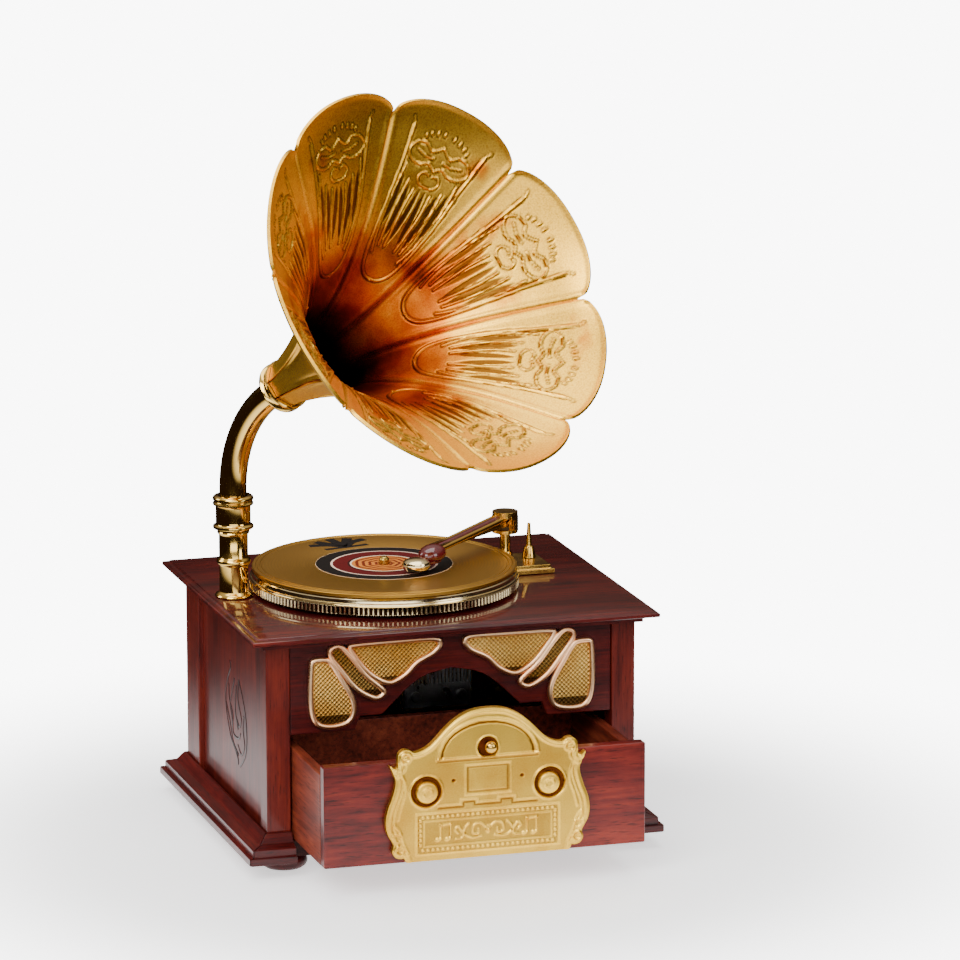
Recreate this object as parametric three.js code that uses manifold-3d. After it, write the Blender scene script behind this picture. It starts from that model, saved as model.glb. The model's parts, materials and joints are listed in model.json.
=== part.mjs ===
// Gramophone music box: a mahogany case with a jewellery drawer, a turntable driven by a wound
// cylinder movement, a small tonearm, and a petalled horn that swivels on an elbow tube.
// Millimetres, +Z up, the front faces -Y. The case's own centre is the working origin; the whole
// model is moved at the end so that the origin is the bottom centre of its bounding box.
import * as THREE from "three";
import { mergeVertices } from "three/addons/utils/BufferGeometryUtils.js";
import Module from "manifold-3d";

const wasm = await Module();
wasm.setup();

// ---- driving dimensions -------------------------------------------------------------------
const GAP = 0.15; // between pieces that sit face to face
const RUNNING = 0.3; // round a shaft that turns, and under what slides

const CASE_WIDTH = 109.2;
const CASE_DEPTH = 90.8;
const FOOT_HEIGHT = 4.5;
const FOOT_RADIUS = 6.8;
const FOOT_INSET = 6.5;
const FLOOR_THICKNESS = 4.7;
const WALL_HEIGHT = 56.6;
const PANEL_THICKNESS = 3;
const PANEL_RECESS = 1.6;
const BACK_RECESS = 0.8;
const FASCIA_RECESS = 0.6;
const POST_WIDTH = 7;
const REAR_POST_DEPTH = 14;
const PLINTH_HEIGHT = 7.7;
const PLINTH_REACH = 6.75;
const PLINTH_STEP = 2.1;

const BOARD_OVERHANG_X = 5.4;
const BOARD_OVERHANG_Y = 6.5;
const BOARD_LIP = 2.1;
const BOARD_BED = 1.8;
const BOARD_BED_REACH = 1.6;

const DRAWER_HEIGHT = 29.2;
const DRAWER_LENGTH = 61;
const DRAWER_WALL = 3;
const DRAWER_FRONT_THICKNESS = 4;
const DRAWER_BASE = 2;
const DRAWER_SIDE_DROP = 3;
const DRAWER_PROUD = 1.6; // how far the shut drawer's face stands in front of the posts
const DRAWER_OUT = 31; // how far out the drawer stands at rest

const PLAQUE_WIDTH = 59.8;
const PLAQUE_HEIGHT = 42.9;
const PLAQUE_THICKNESS = 2;
const DIAL_RADIUS = 3.7;
const DIAL_HEIGHT = 1;
const KNOB_RADIUS = 2.3;
const KNOB_LENGTH = 4;

const GRILLE_THICKNESS = 1.6;
const GRILLE_POCKET = 0.8;
const GRILLE_RIM = 1.1;

const TURNTABLE_X = -7.5;
const TURNTABLE_Y = -2.5;
const PLATTER_RADIUS = 38.9;
const PLATTER_LIFT = 1.2;
const PLATTER_RIM = 3.2;
const PLATTER_STEP = 1.6;
const RECORD_RADIUS = 38.3;
const RECORD_THICKNESS = 1.2;
const SPINDLE_RADIUS = 1.5;
const SPINDLE_TIP = 2;

const ARM_PIVOT_X = 34.2;
const ARM_PIVOT_Y = 14;
const ARM_HEADING = 220.5; // degrees about +Z from +X
const ARM_LENGTH = 47.7;
const ARM_BASE_WIDTH = 13.2;
const ARM_BASE_DEPTH = 18.5;
const ARM_BASE_BACK = 14; // from the front edge of the base to the pivot
const ARM_POST_RADIUS = 1.9;
const ARM_POST_HEIGHT = 7;
const YOKE_RADIUS = 3.6;
const YOKE_GAP = 5;
const YOKE_CHEEK = 1;
const YOKE_HEIGHT = 6.4;
const ARM_PIN_RADIUS = 0.5;
const SOUND_BOX_RADIUS = 4.2;
const SOUND_BOX_HEIGHT = 3.6;
const REST_HEIGHT = 12.7;

const HORN_X = -51.5;
const HORN_Y = 1;
const HORN_HEADING = -64; // degrees about +Z: the way the horn leans out from its tube
const HORN_RISE = 31.1; // degrees above level
const TUBE_RADIUS = 3.93;
const SOCKET_RADIUS = 4.2;
const SOCKET_HEIGHT = 19.8;
const SLEEVE_RADIUS = 5.9;
const SLEEVE_HEIGHT = 9.7;
const SLEEVE_FLOOR = 2.2;
const TUBE_STRAIGHT = 1.5;
const BEND_RADIUS = 35.8;
const TUBE_NECK = 6.5;
const COLLAR_RADIUS = 7.6;
const COLLAR_LENGTH = 4.5;
const HORN_LENGTH = 76;
const HORN_RADIUS = 58;
const HORN_THROAT = 5.2;
const HORN_WALL = 0.9;
const PETALS = 8;
const PETAL_TURN = 33.2; // degrees about the horn's own axis to a notch
const NOTCH_DEPTH = 0.085; // share of the flare's length that a notch cuts back

const KEY_Z = 50;
const BEDPLATE_THICKNESS = 2.4;
const BARREL_RADIUS = 12;
const BARREL_LENGTH = 9.8;
const ARBOR_RADIUS = 1.9;
const TOOTH_HEIGHT = 1.5;
const TOOTH_DEPTH = 0.8; // how far meshing teeth reach into each other
const CROWN_TEETH = 16;
const CROWN_RADIUS = 6;
const MAIN_TEETH = 30;
const MAIN_RADIUS = 10;
const CYLINDER_PINION_TEETH = 10;
const CYLINDER_RADIUS = 6;
const CYLINDER_LENGTH = 22;
const CYLINDER_WHEEL_TEETH = 24;
const MIDDLE_PINION_TEETH = 8;
const MIDDLE_WHEEL_TEETH = 20;
const FINE_MODULE = 0.5; // pitch radius is half the module times the teeth
const WORM_RADIUS = 1.5;
const FAN_RADIUS = 5;
const COMB_TEETH = 18;
const COMB_THICKNESS = 1;
const KEY_LOOP_RADIUS = 6.5;
const KEY_LOOP_HOLE = 3.6;
const SCREW_RADIUS = 0.9;
const SCREW_HEAD = 1.9;

// ---- places worked out from them ----------------------------------------------------------
const HALF_W = CASE_WIDTH / 2;
const HALF_D = CASE_DEPTH / 2;
const FLOOR_TOP = FOOT_HEIGHT + FLOOR_THICKNESS;
const WALL_BOTTOM = FLOOR_TOP + GAP;
const WALL_TOP = WALL_BOTTOM + WALL_HEIGHT;
const BOARD_BOTTOM = WALL_TOP + GAP;
const BOARD_TOP = BOARD_BOTTOM + BOARD_BED + BOARD_LIP;
const INNER_X = HALF_W - POST_WIDTH; // half the clear width between the posts
const BACK_FACE = HALF_D - BACK_RECESS;
const BACK_INNER = BACK_FACE - PANEL_THICKNESS;
const FASCIA_FACE = -HALF_D + FASCIA_RECESS;
const DRAWER_BOTTOM = FLOOR_TOP + 2 * RUNNING;
const DRAWER_TOP = DRAWER_BOTTOM + DRAWER_HEIGHT;
const DRAWER_HALF = INNER_X - 2 * RUNNING;
const DRAWER_FACE = -HALF_D - DRAWER_PROUD - DRAWER_OUT;
const FASCIA_BOTTOM = DRAWER_TOP + 1;
const PLAQUE_BOTTOM = DRAWER_BOTTOM + 0.6;
const PLATTER_BOTTOM = BOARD_TOP + PLATTER_LIFT;
const RECORD_BOTTOM = PLATTER_BOTTOM + PLATTER_RIM + PLATTER_STEP + GAP;
const RECORD_TOP = RECORD_BOTTOM + RECORD_THICKNESS;
const PINION_TIP = CROWN_RADIUS + TOOTH_DEPTH / 2;
const CROWN_TOOTH_BOTTOM = KEY_Z + PINION_TIP - TOOTH_DEPTH;
const BEDPLATE_FACE = BACK_INNER - GAP - BEDPLATE_THICKNESS;
const BARREL_FRONT = BEDPLATE_FACE - GAP - BARREL_LENGTH;
const MAIN_WEB = 1.8;
const MAIN_WEB_FRONT = BARREL_FRONT - RUNNING - MAIN_WEB;
const MAIN_TOOTH_FRONT = MAIN_WEB_FRONT - TOOTH_HEIGHT;
const CYLINDER_PINION_RADIUS = (MAIN_RADIUS * CYLINDER_PINION_TEETH) / MAIN_TEETH;
const CYLINDER_PINION_TIP = CYLINDER_PINION_RADIUS + TOOTH_DEPTH / 2;
const CYLINDER_Y = MAIN_TOOTH_FRONT + TOOTH_DEPTH - CYLINDER_PINION_TIP;
const DRUM_LEFT = TURNTABLE_X + BARREL_RADIUS + 0.7;
const DRUM_RIGHT = DRUM_LEFT + CYLINDER_LENGTH;
const WHEEL_RADIUS = (FINE_MODULE * CYLINDER_WHEEL_TEETH) / 2;
const MIDDLE_PINION_RADIUS = (FINE_MODULE * MIDDLE_PINION_TEETH) / 2;
const MIDDLE_WHEEL_RADIUS = (FINE_MODULE * MIDDLE_WHEEL_TEETH) / 2;
const MIDDLE_Z = KEY_Z - WHEEL_RADIUS - MIDDLE_PINION_RADIUS;
const LUG_X = DRUM_RIGHT + 1.3;
const LUG_THICKNESS = 1.5;
const WHEEL_X = LUG_X + LUG_THICKNESS + 0.6;
const MIDDLE_WHEEL_X = WHEEL_X + 3;
const WORM_X = MIDDLE_WHEEL_X + 0.7;
const WORM_Z = MIDDLE_Z - MIDDLE_WHEEL_RADIUS - FINE_MODULE - RUNNING - WORM_RADIUS;
const BRACKET_X = WORM_X + FAN_RADIUS + 0.9;
const BRACKET_FRONT = CYLINDER_Y - CYLINDER_RADIUS - 1.5;

// ---- geometry helpers ---------------------------------------------------------------------
const degrees = THREE.MathUtils.degToRad;

/** Turns the faces of a closed mesh so that they point outwards. */
function facingOut(geometry) {
  const made = geometry.index ? geometry : mergeVertices(geometry);
  const p = made.attributes.position;
  const index = made.index.array;
  const [a, b, c] = [new THREE.Vector3(), new THREE.Vector3(), new THREE.Vector3()];
  let volume = 0;
  for (let i = 0; i < index.length; i += 3) {
    a.fromBufferAttribute(p, index[i]);
    b.fromBufferAttribute(p, index[i + 1]);
    c.fromBufferAttribute(p, index[i + 2]);
    volume += a.dot(b.cross(c));
  }
  if (volume > 0) return made;
  for (let i = 0; i < index.length; i += 3) {
    [index[i + 1], index[i + 2]] = [index[i + 2], index[i + 1]];
  }
  return made;
}

/** The closed mesh as a solid that can be joined and cut. */
function solid(geometry) {
  const bare = geometry.clone();
  bare.deleteAttribute("normal");
  bare.deleteAttribute("uv");
  const merged = facingOut(mergeVertices(bare, 1e-4));
  const vertProperties = merged.attributes.position.array;
  const triVerts = new Uint32Array(merged.index.array);
  return new wasm.Manifold(new wasm.Mesh({ numProp: 3, vertProperties, triVerts }));
}

function meshOf(made) {
  const { vertProperties, triVerts } = made.getMesh();
  const geometry = new THREE.BufferGeometry();
  geometry.setAttribute("position", new THREE.BufferAttribute(vertProperties, 3));
  geometry.setIndex(new THREE.BufferAttribute(triVerts, 1));
  return geometry;
}

const joined = (...pieces) => meshOf(pieces.map(solid).reduce((a, b) => a.add(b)));

const cut = (piece, ...tools) => meshOf(tools.map(solid).reduce((a, b) => a.subtract(b), solid(piece)));

/** A box from its low and high corners. */
function block(x0, x1, y0, y1, z0, z1) {
  const made = new THREE.BoxGeometry(x1 - x0, y1 - y0, z1 - z0);
  return made.translate((x0 + x1) / 2, (y0 + y1) / 2, (z0 + z1) / 2);
}

const polygon = (points) => new THREE.Shape(points.map(([x, y]) => new THREE.Vector2(x, y)));

function slab(shape, thickness) {
  return new THREE.ExtrudeGeometry(shape, { depth: thickness, bevelEnabled: false, curveSegments: 10 });
}

/** A plate whose outline is drawn in (x, z); it fills y0 to y0 + thickness. */
function uprightPlate(shape, y0, thickness) {
  return slab(shape, thickness).rotateX(Math.PI / 2).translate(0, y0 + thickness, 0);
}

/** A plate whose outline is drawn in (y, z); it fills x0 to x0 + thickness. */
function sidePlate(shape, x0, thickness) {
  return slab(shape, thickness).rotateX(Math.PI / 2).rotateZ(Math.PI / 2).translate(x0, 0, 0);
}

/** A turned piece about +Z from [radius, height] points. */
function turned(points, segments = 24) {
  const profile = points.map(([r, h]) => new THREE.Vector2(r, h));
  return facingOut(new THREE.LatheGeometry(profile, segments).rotateX(Math.PI / 2));
}

/** A turned ring or tube: the profile closes on itself. */
const turnedRing = (points, segments = 24) => turned([...points, points[0]], segments);

/** A rod about +Z from height z0 to z1. */
const rod = (radius, z0, z1, segments = 16) =>
  turned([[0, z0], [radius, z0], [radius, z1], [0, z1]], segments);

const alongY = (geometry) => geometry.rotateX(-Math.PI / 2);
const alongX = (geometry) => geometry.rotateY(Math.PI / 2);

/** The toothed outline of a gear: one tooth points along +x of the outline. */
function gearOutline(teeth, pitch, reach, root) {
  const points = [];
  const step = (2 * Math.PI) / teeth;
  const corners = [[pitch - root, -0.26], [pitch + reach, -0.14], [pitch + reach, 0.14],
    [pitch - root, 0.26]];
  for (let i = 0; i < teeth; i += 1) {
    for (const [radius, turn] of corners) {
      const angle = (i + turn) * step;
      points.push([radius * Math.cos(angle), radius * Math.sin(angle)]);
    }
  }
  return polygon(points);
}

/** The face teeth of a contrate wheel: short radial bars standing up from z = 0. */
function faceTeeth(teeth, radius, turn) {
  const width = 0.36 * ((2 * Math.PI * radius) / teeth);
  const bars = [];
  for (let i = 0; i < teeth; i += 1) {
    const bar = block(radius - 0.8, radius + 0.8, -width / 2, width / 2, -0.3, TOOTH_HEIGHT);
    bars.push(bar.rotateZ(((i + turn) * 2 * Math.PI) / teeth));
  }
  return bars;
}

const material = (color, roughness, metalness) => () =>
  new THREE.MeshStandardMaterial({ color, roughness, metalness });
const mahogany = material(0x5a1a16, 0.35, 0);
const drawerWood = material(0x7e3229, 0.4, 0);
const darkWood = material(0x3c1a12, 0.6, 0);
const gold = material(0xd9ad55, 0.25, 1);
const mattGold = material(0xd8b268, 0.5, 1);
const brass = material(0xb89a4a, 0.3, 1);
const steel = material(0xa8a8a8, 0.35, 1);
const redShell = material(0x4a0c10, 0.2, 0);

function piece(name, geometry, finish) {
  const mesh = new THREE.Mesh(geometry, finish());
  mesh.name = name;
  return mesh;
}

/** Names a left and a right copy of a piece that is built on the +X side. */
function pair(base, build, finish) {
  return [1, -1].map((side) => {
    const made = build(side);
    return piece(`${base}_${side > 0 ? "right" : "left"}`, made, finish);
  });
}

const spanX = (side, near, far) => (side > 0 ? [near, far] : [-far, -near]);

// ---- case ---------------------------------------------------------------------------------
/** The top board: a thin lip over a narrower bed, bored for the spindle bush. */
function topBoard() {
  const lipX = HALF_W + BOARD_OVERHANG_X;
  const lipY = HALF_D + BOARD_OVERHANG_Y;
  const bedX = HALF_W + BOARD_BED_REACH;
  const bedY = HALF_D + BOARD_BED_REACH;
  const lip = block(-lipX, lipX, -lipY, lipY, BOARD_TOP - BOARD_LIP, BOARD_TOP);
  const bed = block(-bedX, bedX, -bedY, bedY, BOARD_BOTTOM, BOARD_TOP - BOARD_LIP);
  const bore = rod(BUSH_RADIUS + GAP, BOARD_BOTTOM - 1, BOARD_TOP + 1);
  return cut(joined(lip, bed), bore.translate(TURNTABLE_X, TURNTABLE_Y, 0));
}

function sidePanel(side) {
  const face = HALF_W - PANEL_RECESS;
  const [x0, x1] = spanX(side, face - PANEL_THICKNESS, face);
  const front = -HALF_D + POST_WIDTH + GAP;
  const back = HALF_D - REAR_POST_DEPTH - GAP;
  return block(x0, x1, front, back, WALL_BOTTOM, WALL_TOP);
}

function frontPost(side) {
  const [x0, x1] = spanX(side, INNER_X, HALF_W);
  return block(x0, x1, -HALF_D, -HALF_D + POST_WIDTH, WALL_BOTTOM, WALL_TOP);
}

function rearPost(side) {
  const [x0, x1] = spanX(side, INNER_X, HALF_W);
  return block(x0, x1, HALF_D - REAR_POST_DEPTH, HALF_D, WALL_BOTTOM, WALL_TOP);
}

/** The back panel, bored for the winding key's arbor and the movement's screws. */
function backPanel() {
  const half = INNER_X - GAP;
  const plate = block(-half, half, BACK_INNER, BACK_FACE, WALL_BOTTOM, WALL_TOP);
  const bore = (radius, x, z) => alongY(rod(radius, BACK_INNER - 1, BACK_FACE + 1)).translate(x, 0, z);
  const screwBores = MOVEMENT_SCREWS.map(([x, z]) => bore(SCREW_RADIUS + GAP, x, z));
  return cut(plate, bore(ARBOR_RADIUS + 1, TURNTABLE_X, KEY_Z), ...screwBores);
}

/** Half of the fascia's lower edge, from the middle of the arch out to the post. */
function fasciaEdge() {
  const archTop = PLAQUE_BOTTOM + PLAQUE_HEIGHT + 2.8;
  const foot = FASCIA_BOTTOM + 4;
  const points = [[0, archTop], [7.5, archTop - 1.6], [12.5, archTop - 4.6], [17.6, archTop - 9.3],
    [20.5, foot]];
  const arch = new THREE.SplineCurve(points.map(([x, z]) => new THREE.Vector2(x, z)));
  const round = arch.getPoints(9).map((p) => [p.x, p.y]);
  return [...round, [27, foot], [28.5, FASCIA_BOTTOM]];
}

function frontFascia() {
  const half = INNER_X - GAP;
  const edge = fasciaEdge();
  const mirrored = edge.slice(1).reverse().map(([x, z]) => [-x, z]);
  const outline = [[-half, FASCIA_BOTTOM], ...mirrored, ...edge, [half, FASCIA_BOTTOM]];
  outline.push([half, WALL_TOP], [-half, WALL_TOP]);
  return uprightPlate(polygon(outline), FASCIA_FACE, PANEL_THICKNESS);
}

const floorBoard = () => block(-HALF_W, HALF_W, -HALF_D, HALF_D, FOOT_HEIGHT, FLOOR_TOP);

/** A length of stepped plinth along +x with its back at y = 0, mitred where told. */
function plinthStrip(length, mitreStart, mitreEnd) {
  const top = PLINTH_HEIGHT;
  const profile = [[0, 0], [PLINTH_REACH, 0], [PLINTH_REACH, PLINTH_STEP], [PLINTH_REACH - 1.3, PLINTH_STEP],
    [PLINTH_REACH - 1.3, 2 * PLINTH_STEP], [PLINTH_REACH - 4, 2 * PLINTH_STEP + 0.9], [0.8, top], [0, top]];
  const strip = slab(polygon(profile), length).rotateX(Math.PI / 2).rotateZ(Math.PI / 2);
  // The strip now runs along +x, its outer face towards +y, and is turned to face -y.
  strip.rotateZ(Math.PI).translate(length, 0, 0);
  const p = strip.attributes.position;
  for (let i = 0; i < p.count; i += 1) {
    const reach = -p.getY(i);
    const atStart = p.getX(i) < length / 2;
    if (atStart && mitreStart) p.setX(i, -reach);
    if (!atStart && mitreEnd) p.setX(i, length + reach);
  }
  return strip;
}

function plinthPieces() {
  const z = FOOT_HEIGHT;
  const away = GAP;
  const front = plinthStrip(POST_WIDTH, true, false).translate(-HALF_W, -HALF_D - away, z);
  const frontRight = plinthStrip(POST_WIDTH, false, true).translate(HALF_W - POST_WIDTH, -HALF_D - away, z);
  const back = plinthStrip(CASE_WIDTH, true, true).rotateZ(Math.PI).translate(HALF_W, HALF_D + away, z);
  const left = plinthStrip(CASE_DEPTH, true, true).rotateZ(-Math.PI / 2);
  const right = plinthStrip(CASE_DEPTH, true, true).rotateZ(Math.PI / 2);
  return [
    piece("plinth_front_left", front, mahogany),
    piece("plinth_front_right", frontRight, mahogany),
    piece("plinth_back", back, mahogany),
    piece("plinth_left", left.translate(-HALF_W - away, HALF_D, z), mahogany),
    piece("plinth_right", right.translate(HALF_W + away, -HALF_D, z), mahogany),
  ];
}

/** A turned bun foot. */
function foot() {
  const top = FOOT_HEIGHT - GAP;
  const r = FOOT_RADIUS;
  return turned([[0, 0], [r - 1.6, 0], [r - 0.4, 1], [r, top / 2], [r - 0.4, top - 0.6], [r - 1, top],
    [0, top]], 20);
}

function feet() {
  const x = HALF_W - FOOT_INSET;
  const y = HALF_D - FOOT_INSET;
  const places = { front_left: [-x, -y], front_right: [x, -y], back_left: [-x, y], back_right: [x, y] };
  return Object.entries(places).map(([name, [px, py]]) =>
    piece(`foot_${name}`, foot().translate(px, py, 0), mahogany));
}

// ---- speaker grilles ----------------------------------------------------------------------
/** A smooth closed outline through chosen points. */
function smoothOutline(points, count) {
  const curve = new THREE.CatmullRomCurve3(points.map(([x, y]) => new THREE.Vector3(x, y, 0)), true);
  return curve.getPoints(count).slice(0, -1).map((p) => [p.x, p.y]);
}

/** The outline moved inwards by a distance; it runs anticlockwise. Points that cross over are left out. */
function inset(points, distance) {
  const moved = points.map(([x, y], i) => {
    const [ax, ay] = points[(i + points.length - 1) % points.length];
    const [bx, by] = points[(i + 1) % points.length];
    const length = Math.hypot(bx - ax, by - ay);
    return [x - (distance * (by - ay)) / length, y + (distance * (bx - ax)) / length];
  });
  return moved.filter(([x, y]) => points.every(([px, py]) => Math.hypot(px - x, py - y) > 0.97 * distance));
}

/** The three cells of the right-hand grille, anticlockwise in (x, height below the wall top). */
function grilleCells() {
  const wide = [[2.9, -2.4], [5, -5.4], [9.9, -8], [13.6, -11.5], [18.8, -13.5], [24.4, -10.6], [28.9, -5.4],
    [30.9, -1.6], [29, -0.3], [17, -0.1], [5.2, -0.2]];
  const bar = [[32.8, -0.4], [29, -4.2], [24.7, -9.8], [19.7, -14.4], [20.2, -16.8], [23.4, -17.5],
    [28.6, -14.4], [33, -9], [36.5, -4], [36.2, -1.2]];
  const outer = [[38, -3.9], [35.4, -5], [32.4, -9.7], [28.9, -16], [28.4, -20.5], [30.6, -24], [36.3, -25],
    [40.6, -23.4], [42.3, -18], [42.3, -8], [41.5, -4.4]];
  return [wide, bar, outer].map((cell) => smoothOutline(cell, 26));
}

/** One gilt grille: three rimmed cells in one plate, each cell sunk to take its woven face. */
function grille(side) {
  const place = ([x, z]) => [side * x, z + WALL_TOP - 0.4];
  const back = FASCIA_FACE - GAP - GRILLE_THICKNESS;
  const whole = grilleCells().map((cell) => uprightPlate(polygon(cell.map(place)), back, GRILLE_THICKNESS));
  const pockets = grilleCells().map((cell) =>
    uprightPlate(polygon(inset(cell, GRILLE_RIM).map(place)), back - 1, GRILLE_POCKET + 1));
  return cut(joined(...whole), ...pockets);
}

// ---- drawer -------------------------------------------------------------------------------
function drawerPieces() {
  const back = DRAWER_FACE + DRAWER_LENGTH;
  const behindFront = DRAWER_FACE + DRAWER_FRONT_THICKNESS;
  const inner = DRAWER_HALF - DRAWER_WALL;
  const wallTop = DRAWER_TOP - DRAWER_SIDE_DROP;
  const side = (s) => {
    const [x0, x1] = spanX(s, inner, DRAWER_HALF);
    return block(x0, x1, behindFront + GAP, back, DRAWER_BOTTOM, wallTop);
  };
  const clear = inner - GAP;
  const innerBack = back - DRAWER_WALL;
  const baseTop = DRAWER_BOTTOM + DRAWER_BASE;
  const base = block(-clear, clear, behindFront + GAP, back, DRAWER_BOTTOM, baseTop);
  const rear = block(-clear, clear, innerBack, back, baseTop + GAP, wallTop);
  const front = block(-DRAWER_HALF, DRAWER_HALF, DRAWER_FACE, behindFront, DRAWER_BOTTOM, DRAWER_TOP);
  return [
    piece("drawer_front", front, drawerWood),
    ...pair("drawer_side", side, darkWood),
    piece("drawer_back", rear, darkWood),
    piece("drawer_bottom", base, darkWood),
  ];
}

/** The right half of the plaque's outline in (x, height above its foot), from foot to crown. */
function plaqueHalf() {
  const w = PLAQUE_WIDTH / 2;
  const h = PLAQUE_HEIGHT;
  const flank = new THREE.SplineCurve(
    [[0.8, 0.03], [0.9, 0.06], [1, 0.21], [0.95, 0.38], [0.9, 0.55], [0.97, 0.63]].map(([x, z]) =>
      new THREE.Vector2(w * x, h * z)),
  );
  const shoulder = new THREE.SplineCurve(
    [[0.64, 0.73], [0.5, 0.8], [0.38, 0.91], [0.2, 0.98], [0, 1]].map(([x, z]) =>
      new THREE.Vector2(w * x, h * z)),
  );
  const ear = new THREE.EllipseCurve(0.79 * w, 0.695 * h, 0.09 * w, 0.06 * h, -0.9, 2.6);
  const curves = [flank.getPoints(10), ear.getPoints(7), shoulder.getPoints(9)];
  return [[0.8 * w, 0], ...curves.flat().map((p) => [p.x, p.y])];
}

/** The gilt plaque: a shaped plate with two raised dials and a raised lower panel. */
function plaque() {
  const half = plaqueHalf();
  const other = half.slice(0, -1).reverse().map(([x, z]) => [-x, z]);
  const outline = [...half, ...other].map(([x, z]) => [x, z + PLAQUE_BOTTOM]);
  const back = DRAWER_FACE - GAP;
  const face = back - PLAQUE_THICKNESS;
  const plate = uprightPlate(polygon(outline), face, PLAQUE_THICKNESS);
  const dialZ = PLAQUE_BOTTOM + 0.48 * PLAQUE_HEIGHT;
  const dial = (x) =>
    alongY(rod(DIAL_RADIUS, face - DIAL_HEIGHT, face + 0.5, 20)).translate(x, 0, dialZ);
  const dialX = 0.58 * (PLAQUE_WIDTH / 2);
  const panel = block(-0.68 * dialX - 8, 0.68 * dialX + 8, face - 0.5, face + 0.5,
    PLAQUE_BOTTOM + 3, PLAQUE_BOTTOM + 11.5);
  return joined(plate, dial(dialX), dial(-dialX), panel);
}

/** The drawer's pull: a small turned knob on the plaque. */
function drawerKnob() {
  const face = DRAWER_FACE - GAP - PLAQUE_THICKNESS - GAP;
  const r = KNOB_RADIUS;
  const front = face - KNOB_LENGTH;
  const knob = turned([[0, front], [r - 0.6, front], [r, front + 0.7], [r - 0.2, front + 1.8],
    [r - 0.9, front + 2.6], [r - 0.9, face], [0, face]], 20);
  return alongY(knob).translate(0, 0, PLAQUE_BOTTOM + 0.75 * PLAQUE_HEIGHT);
}

// ---- turntable ----------------------------------------------------------------------------
const BUSH_RADIUS = SPINDLE_RADIUS + RUNNING + 1.2;

/** The flanged bush in the top board that the spindle turns in. */
function spindleBush() {
  const bore = SPINDLE_RADIUS + RUNNING;
  const flangeBottom = BOARD_TOP + GAP;
  const flangeTop = BOARD_TOP + PLATTER_LIFT - 0.5;
  const ring = turnedRing([[bore, BOARD_BOTTOM], [BUSH_RADIUS, BOARD_BOTTOM], [BUSH_RADIUS, flangeBottom],
    [BUSH_RADIUS + 2, flangeBottom], [BUSH_RADIUS + 2, flangeTop], [bore, flangeTop]], 20);
  return ring.translate(TURNTABLE_X, TURNTABLE_Y, 0);
}

/** The platter: a knurled rim under a smooth step, hollowed underneath. */
function platter() {
  const bottom = PLATTER_BOTTOM;
  const rimTop = bottom + PLATTER_RIM;
  const top = rimTop + PLATTER_STEP;
  const bore = SPINDLE_RADIUS + GAP;
  const skirt = PLATTER_RADIUS - 2.4;
  const web = top - 1.6;
  const profile = [[bore, bottom], [5, bottom], [5, web], [skirt, web], [skirt, bottom],
    [PLATTER_RADIUS, bottom], [PLATTER_RADIUS, rimTop], [PLATTER_RADIUS - 1, rimTop],
    [PLATTER_RADIUS - 1, top], [bore, top]];
  return turnedRing(profile, 56).translate(TURNTABLE_X, TURNTABLE_Y, 0);
}

function record() {
  const bore = SPINDLE_RADIUS + GAP;
  const ring = [[bore, RECORD_BOTTOM], [RECORD_RADIUS, RECORD_BOTTOM], [RECORD_RADIUS, RECORD_TOP],
    [bore, RECORD_TOP]];
  return turnedRing(ring, 56).translate(TURNTABLE_X, TURNTABLE_Y, 0);
}

/** The spindle with its crown wheel, whose teeth hang down to the arbor's pinion. */
function turntableSpindle() {
  const discBottom = CROWN_TOOTH_BOTTOM + TOOTH_HEIGHT;
  const disc = rod(CROWN_RADIUS + 1.2, discBottom, discBottom + 1.5, 24);
  const tip = RECORD_TOP + SPINDLE_TIP;
  const shaft = turned([[0, discBottom], [SPINDLE_RADIUS, discBottom], [SPINDLE_RADIUS, tip - 0.8],
    [SPINDLE_RADIUS - 0.6, tip], [0, tip]], 16);
  const teeth = faceTeeth(CROWN_TEETH, CROWN_RADIUS, 0.5).map((bar) =>
    bar.rotateX(Math.PI).rotateZ(Math.PI / 2).translate(0, 0, discBottom));
  return joined(disc, shaft, ...teeth).translate(TURNTABLE_X, TURNTABLE_Y, 0);
}

// ---- tonearm ------------------------------------------------------------------------------
const ARM_BASE_TOP = BOARD_TOP + GAP + 2.4;
const POST_TOP = ARM_BASE_TOP + GAP + ARM_POST_HEIGHT;
const YOKE_BOTTOM = POST_TOP + RUNNING;
const ARM_Z = YOKE_BOTTOM + 3;

/** The stepped plate that the post and the arm rest stand on. */
function tonearmBase() {
  const x0 = ARM_PIVOT_X - ARM_POST_RADIUS - 0.4;
  const y0 = ARM_PIVOT_Y - ARM_BASE_BACK;
  const low = BOARD_TOP + GAP;
  const step = block(x0, x0 + ARM_BASE_WIDTH, y0, y0 + ARM_BASE_DEPTH, low, low + 1.3);
  const upper = block(x0 + 1, x0 + ARM_BASE_WIDTH - 1, y0 + 1, y0 + ARM_BASE_DEPTH - 1, low + 1,
    ARM_BASE_TOP);
  return joined(step, upper);
}

function tonearmPost() {
  const z0 = ARM_BASE_TOP + GAP;
  const post = turned([[0, z0], [ARM_POST_RADIUS + 0.3, z0], [ARM_POST_RADIUS + 0.3, z0 + 1.2],
    [ARM_POST_RADIUS - 0.3, z0 + 1.8], [ARM_POST_RADIUS - 0.3, POST_TOP], [0, POST_TOP]], 20);
  return post.translate(ARM_PIVOT_X, ARM_PIVOT_Y, 0);
}

/** The arm rest: a slim upright with a notched foot beside the post. */
function armRest() {
  const z0 = ARM_BASE_TOP + GAP;
  const rest = turned([[0, z0], [2.1, z0], [1.5, z0 + 3], [0.9, z0 + 3.4], [0.5, z0 + REST_HEIGHT - 2.6],
    [0, z0 + REST_HEIGHT - 2.4]], 12);
  return rest.translate(ARM_PIVOT_X + 6.5, ARM_PIVOT_Y - 2.6, 0);
}

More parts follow.
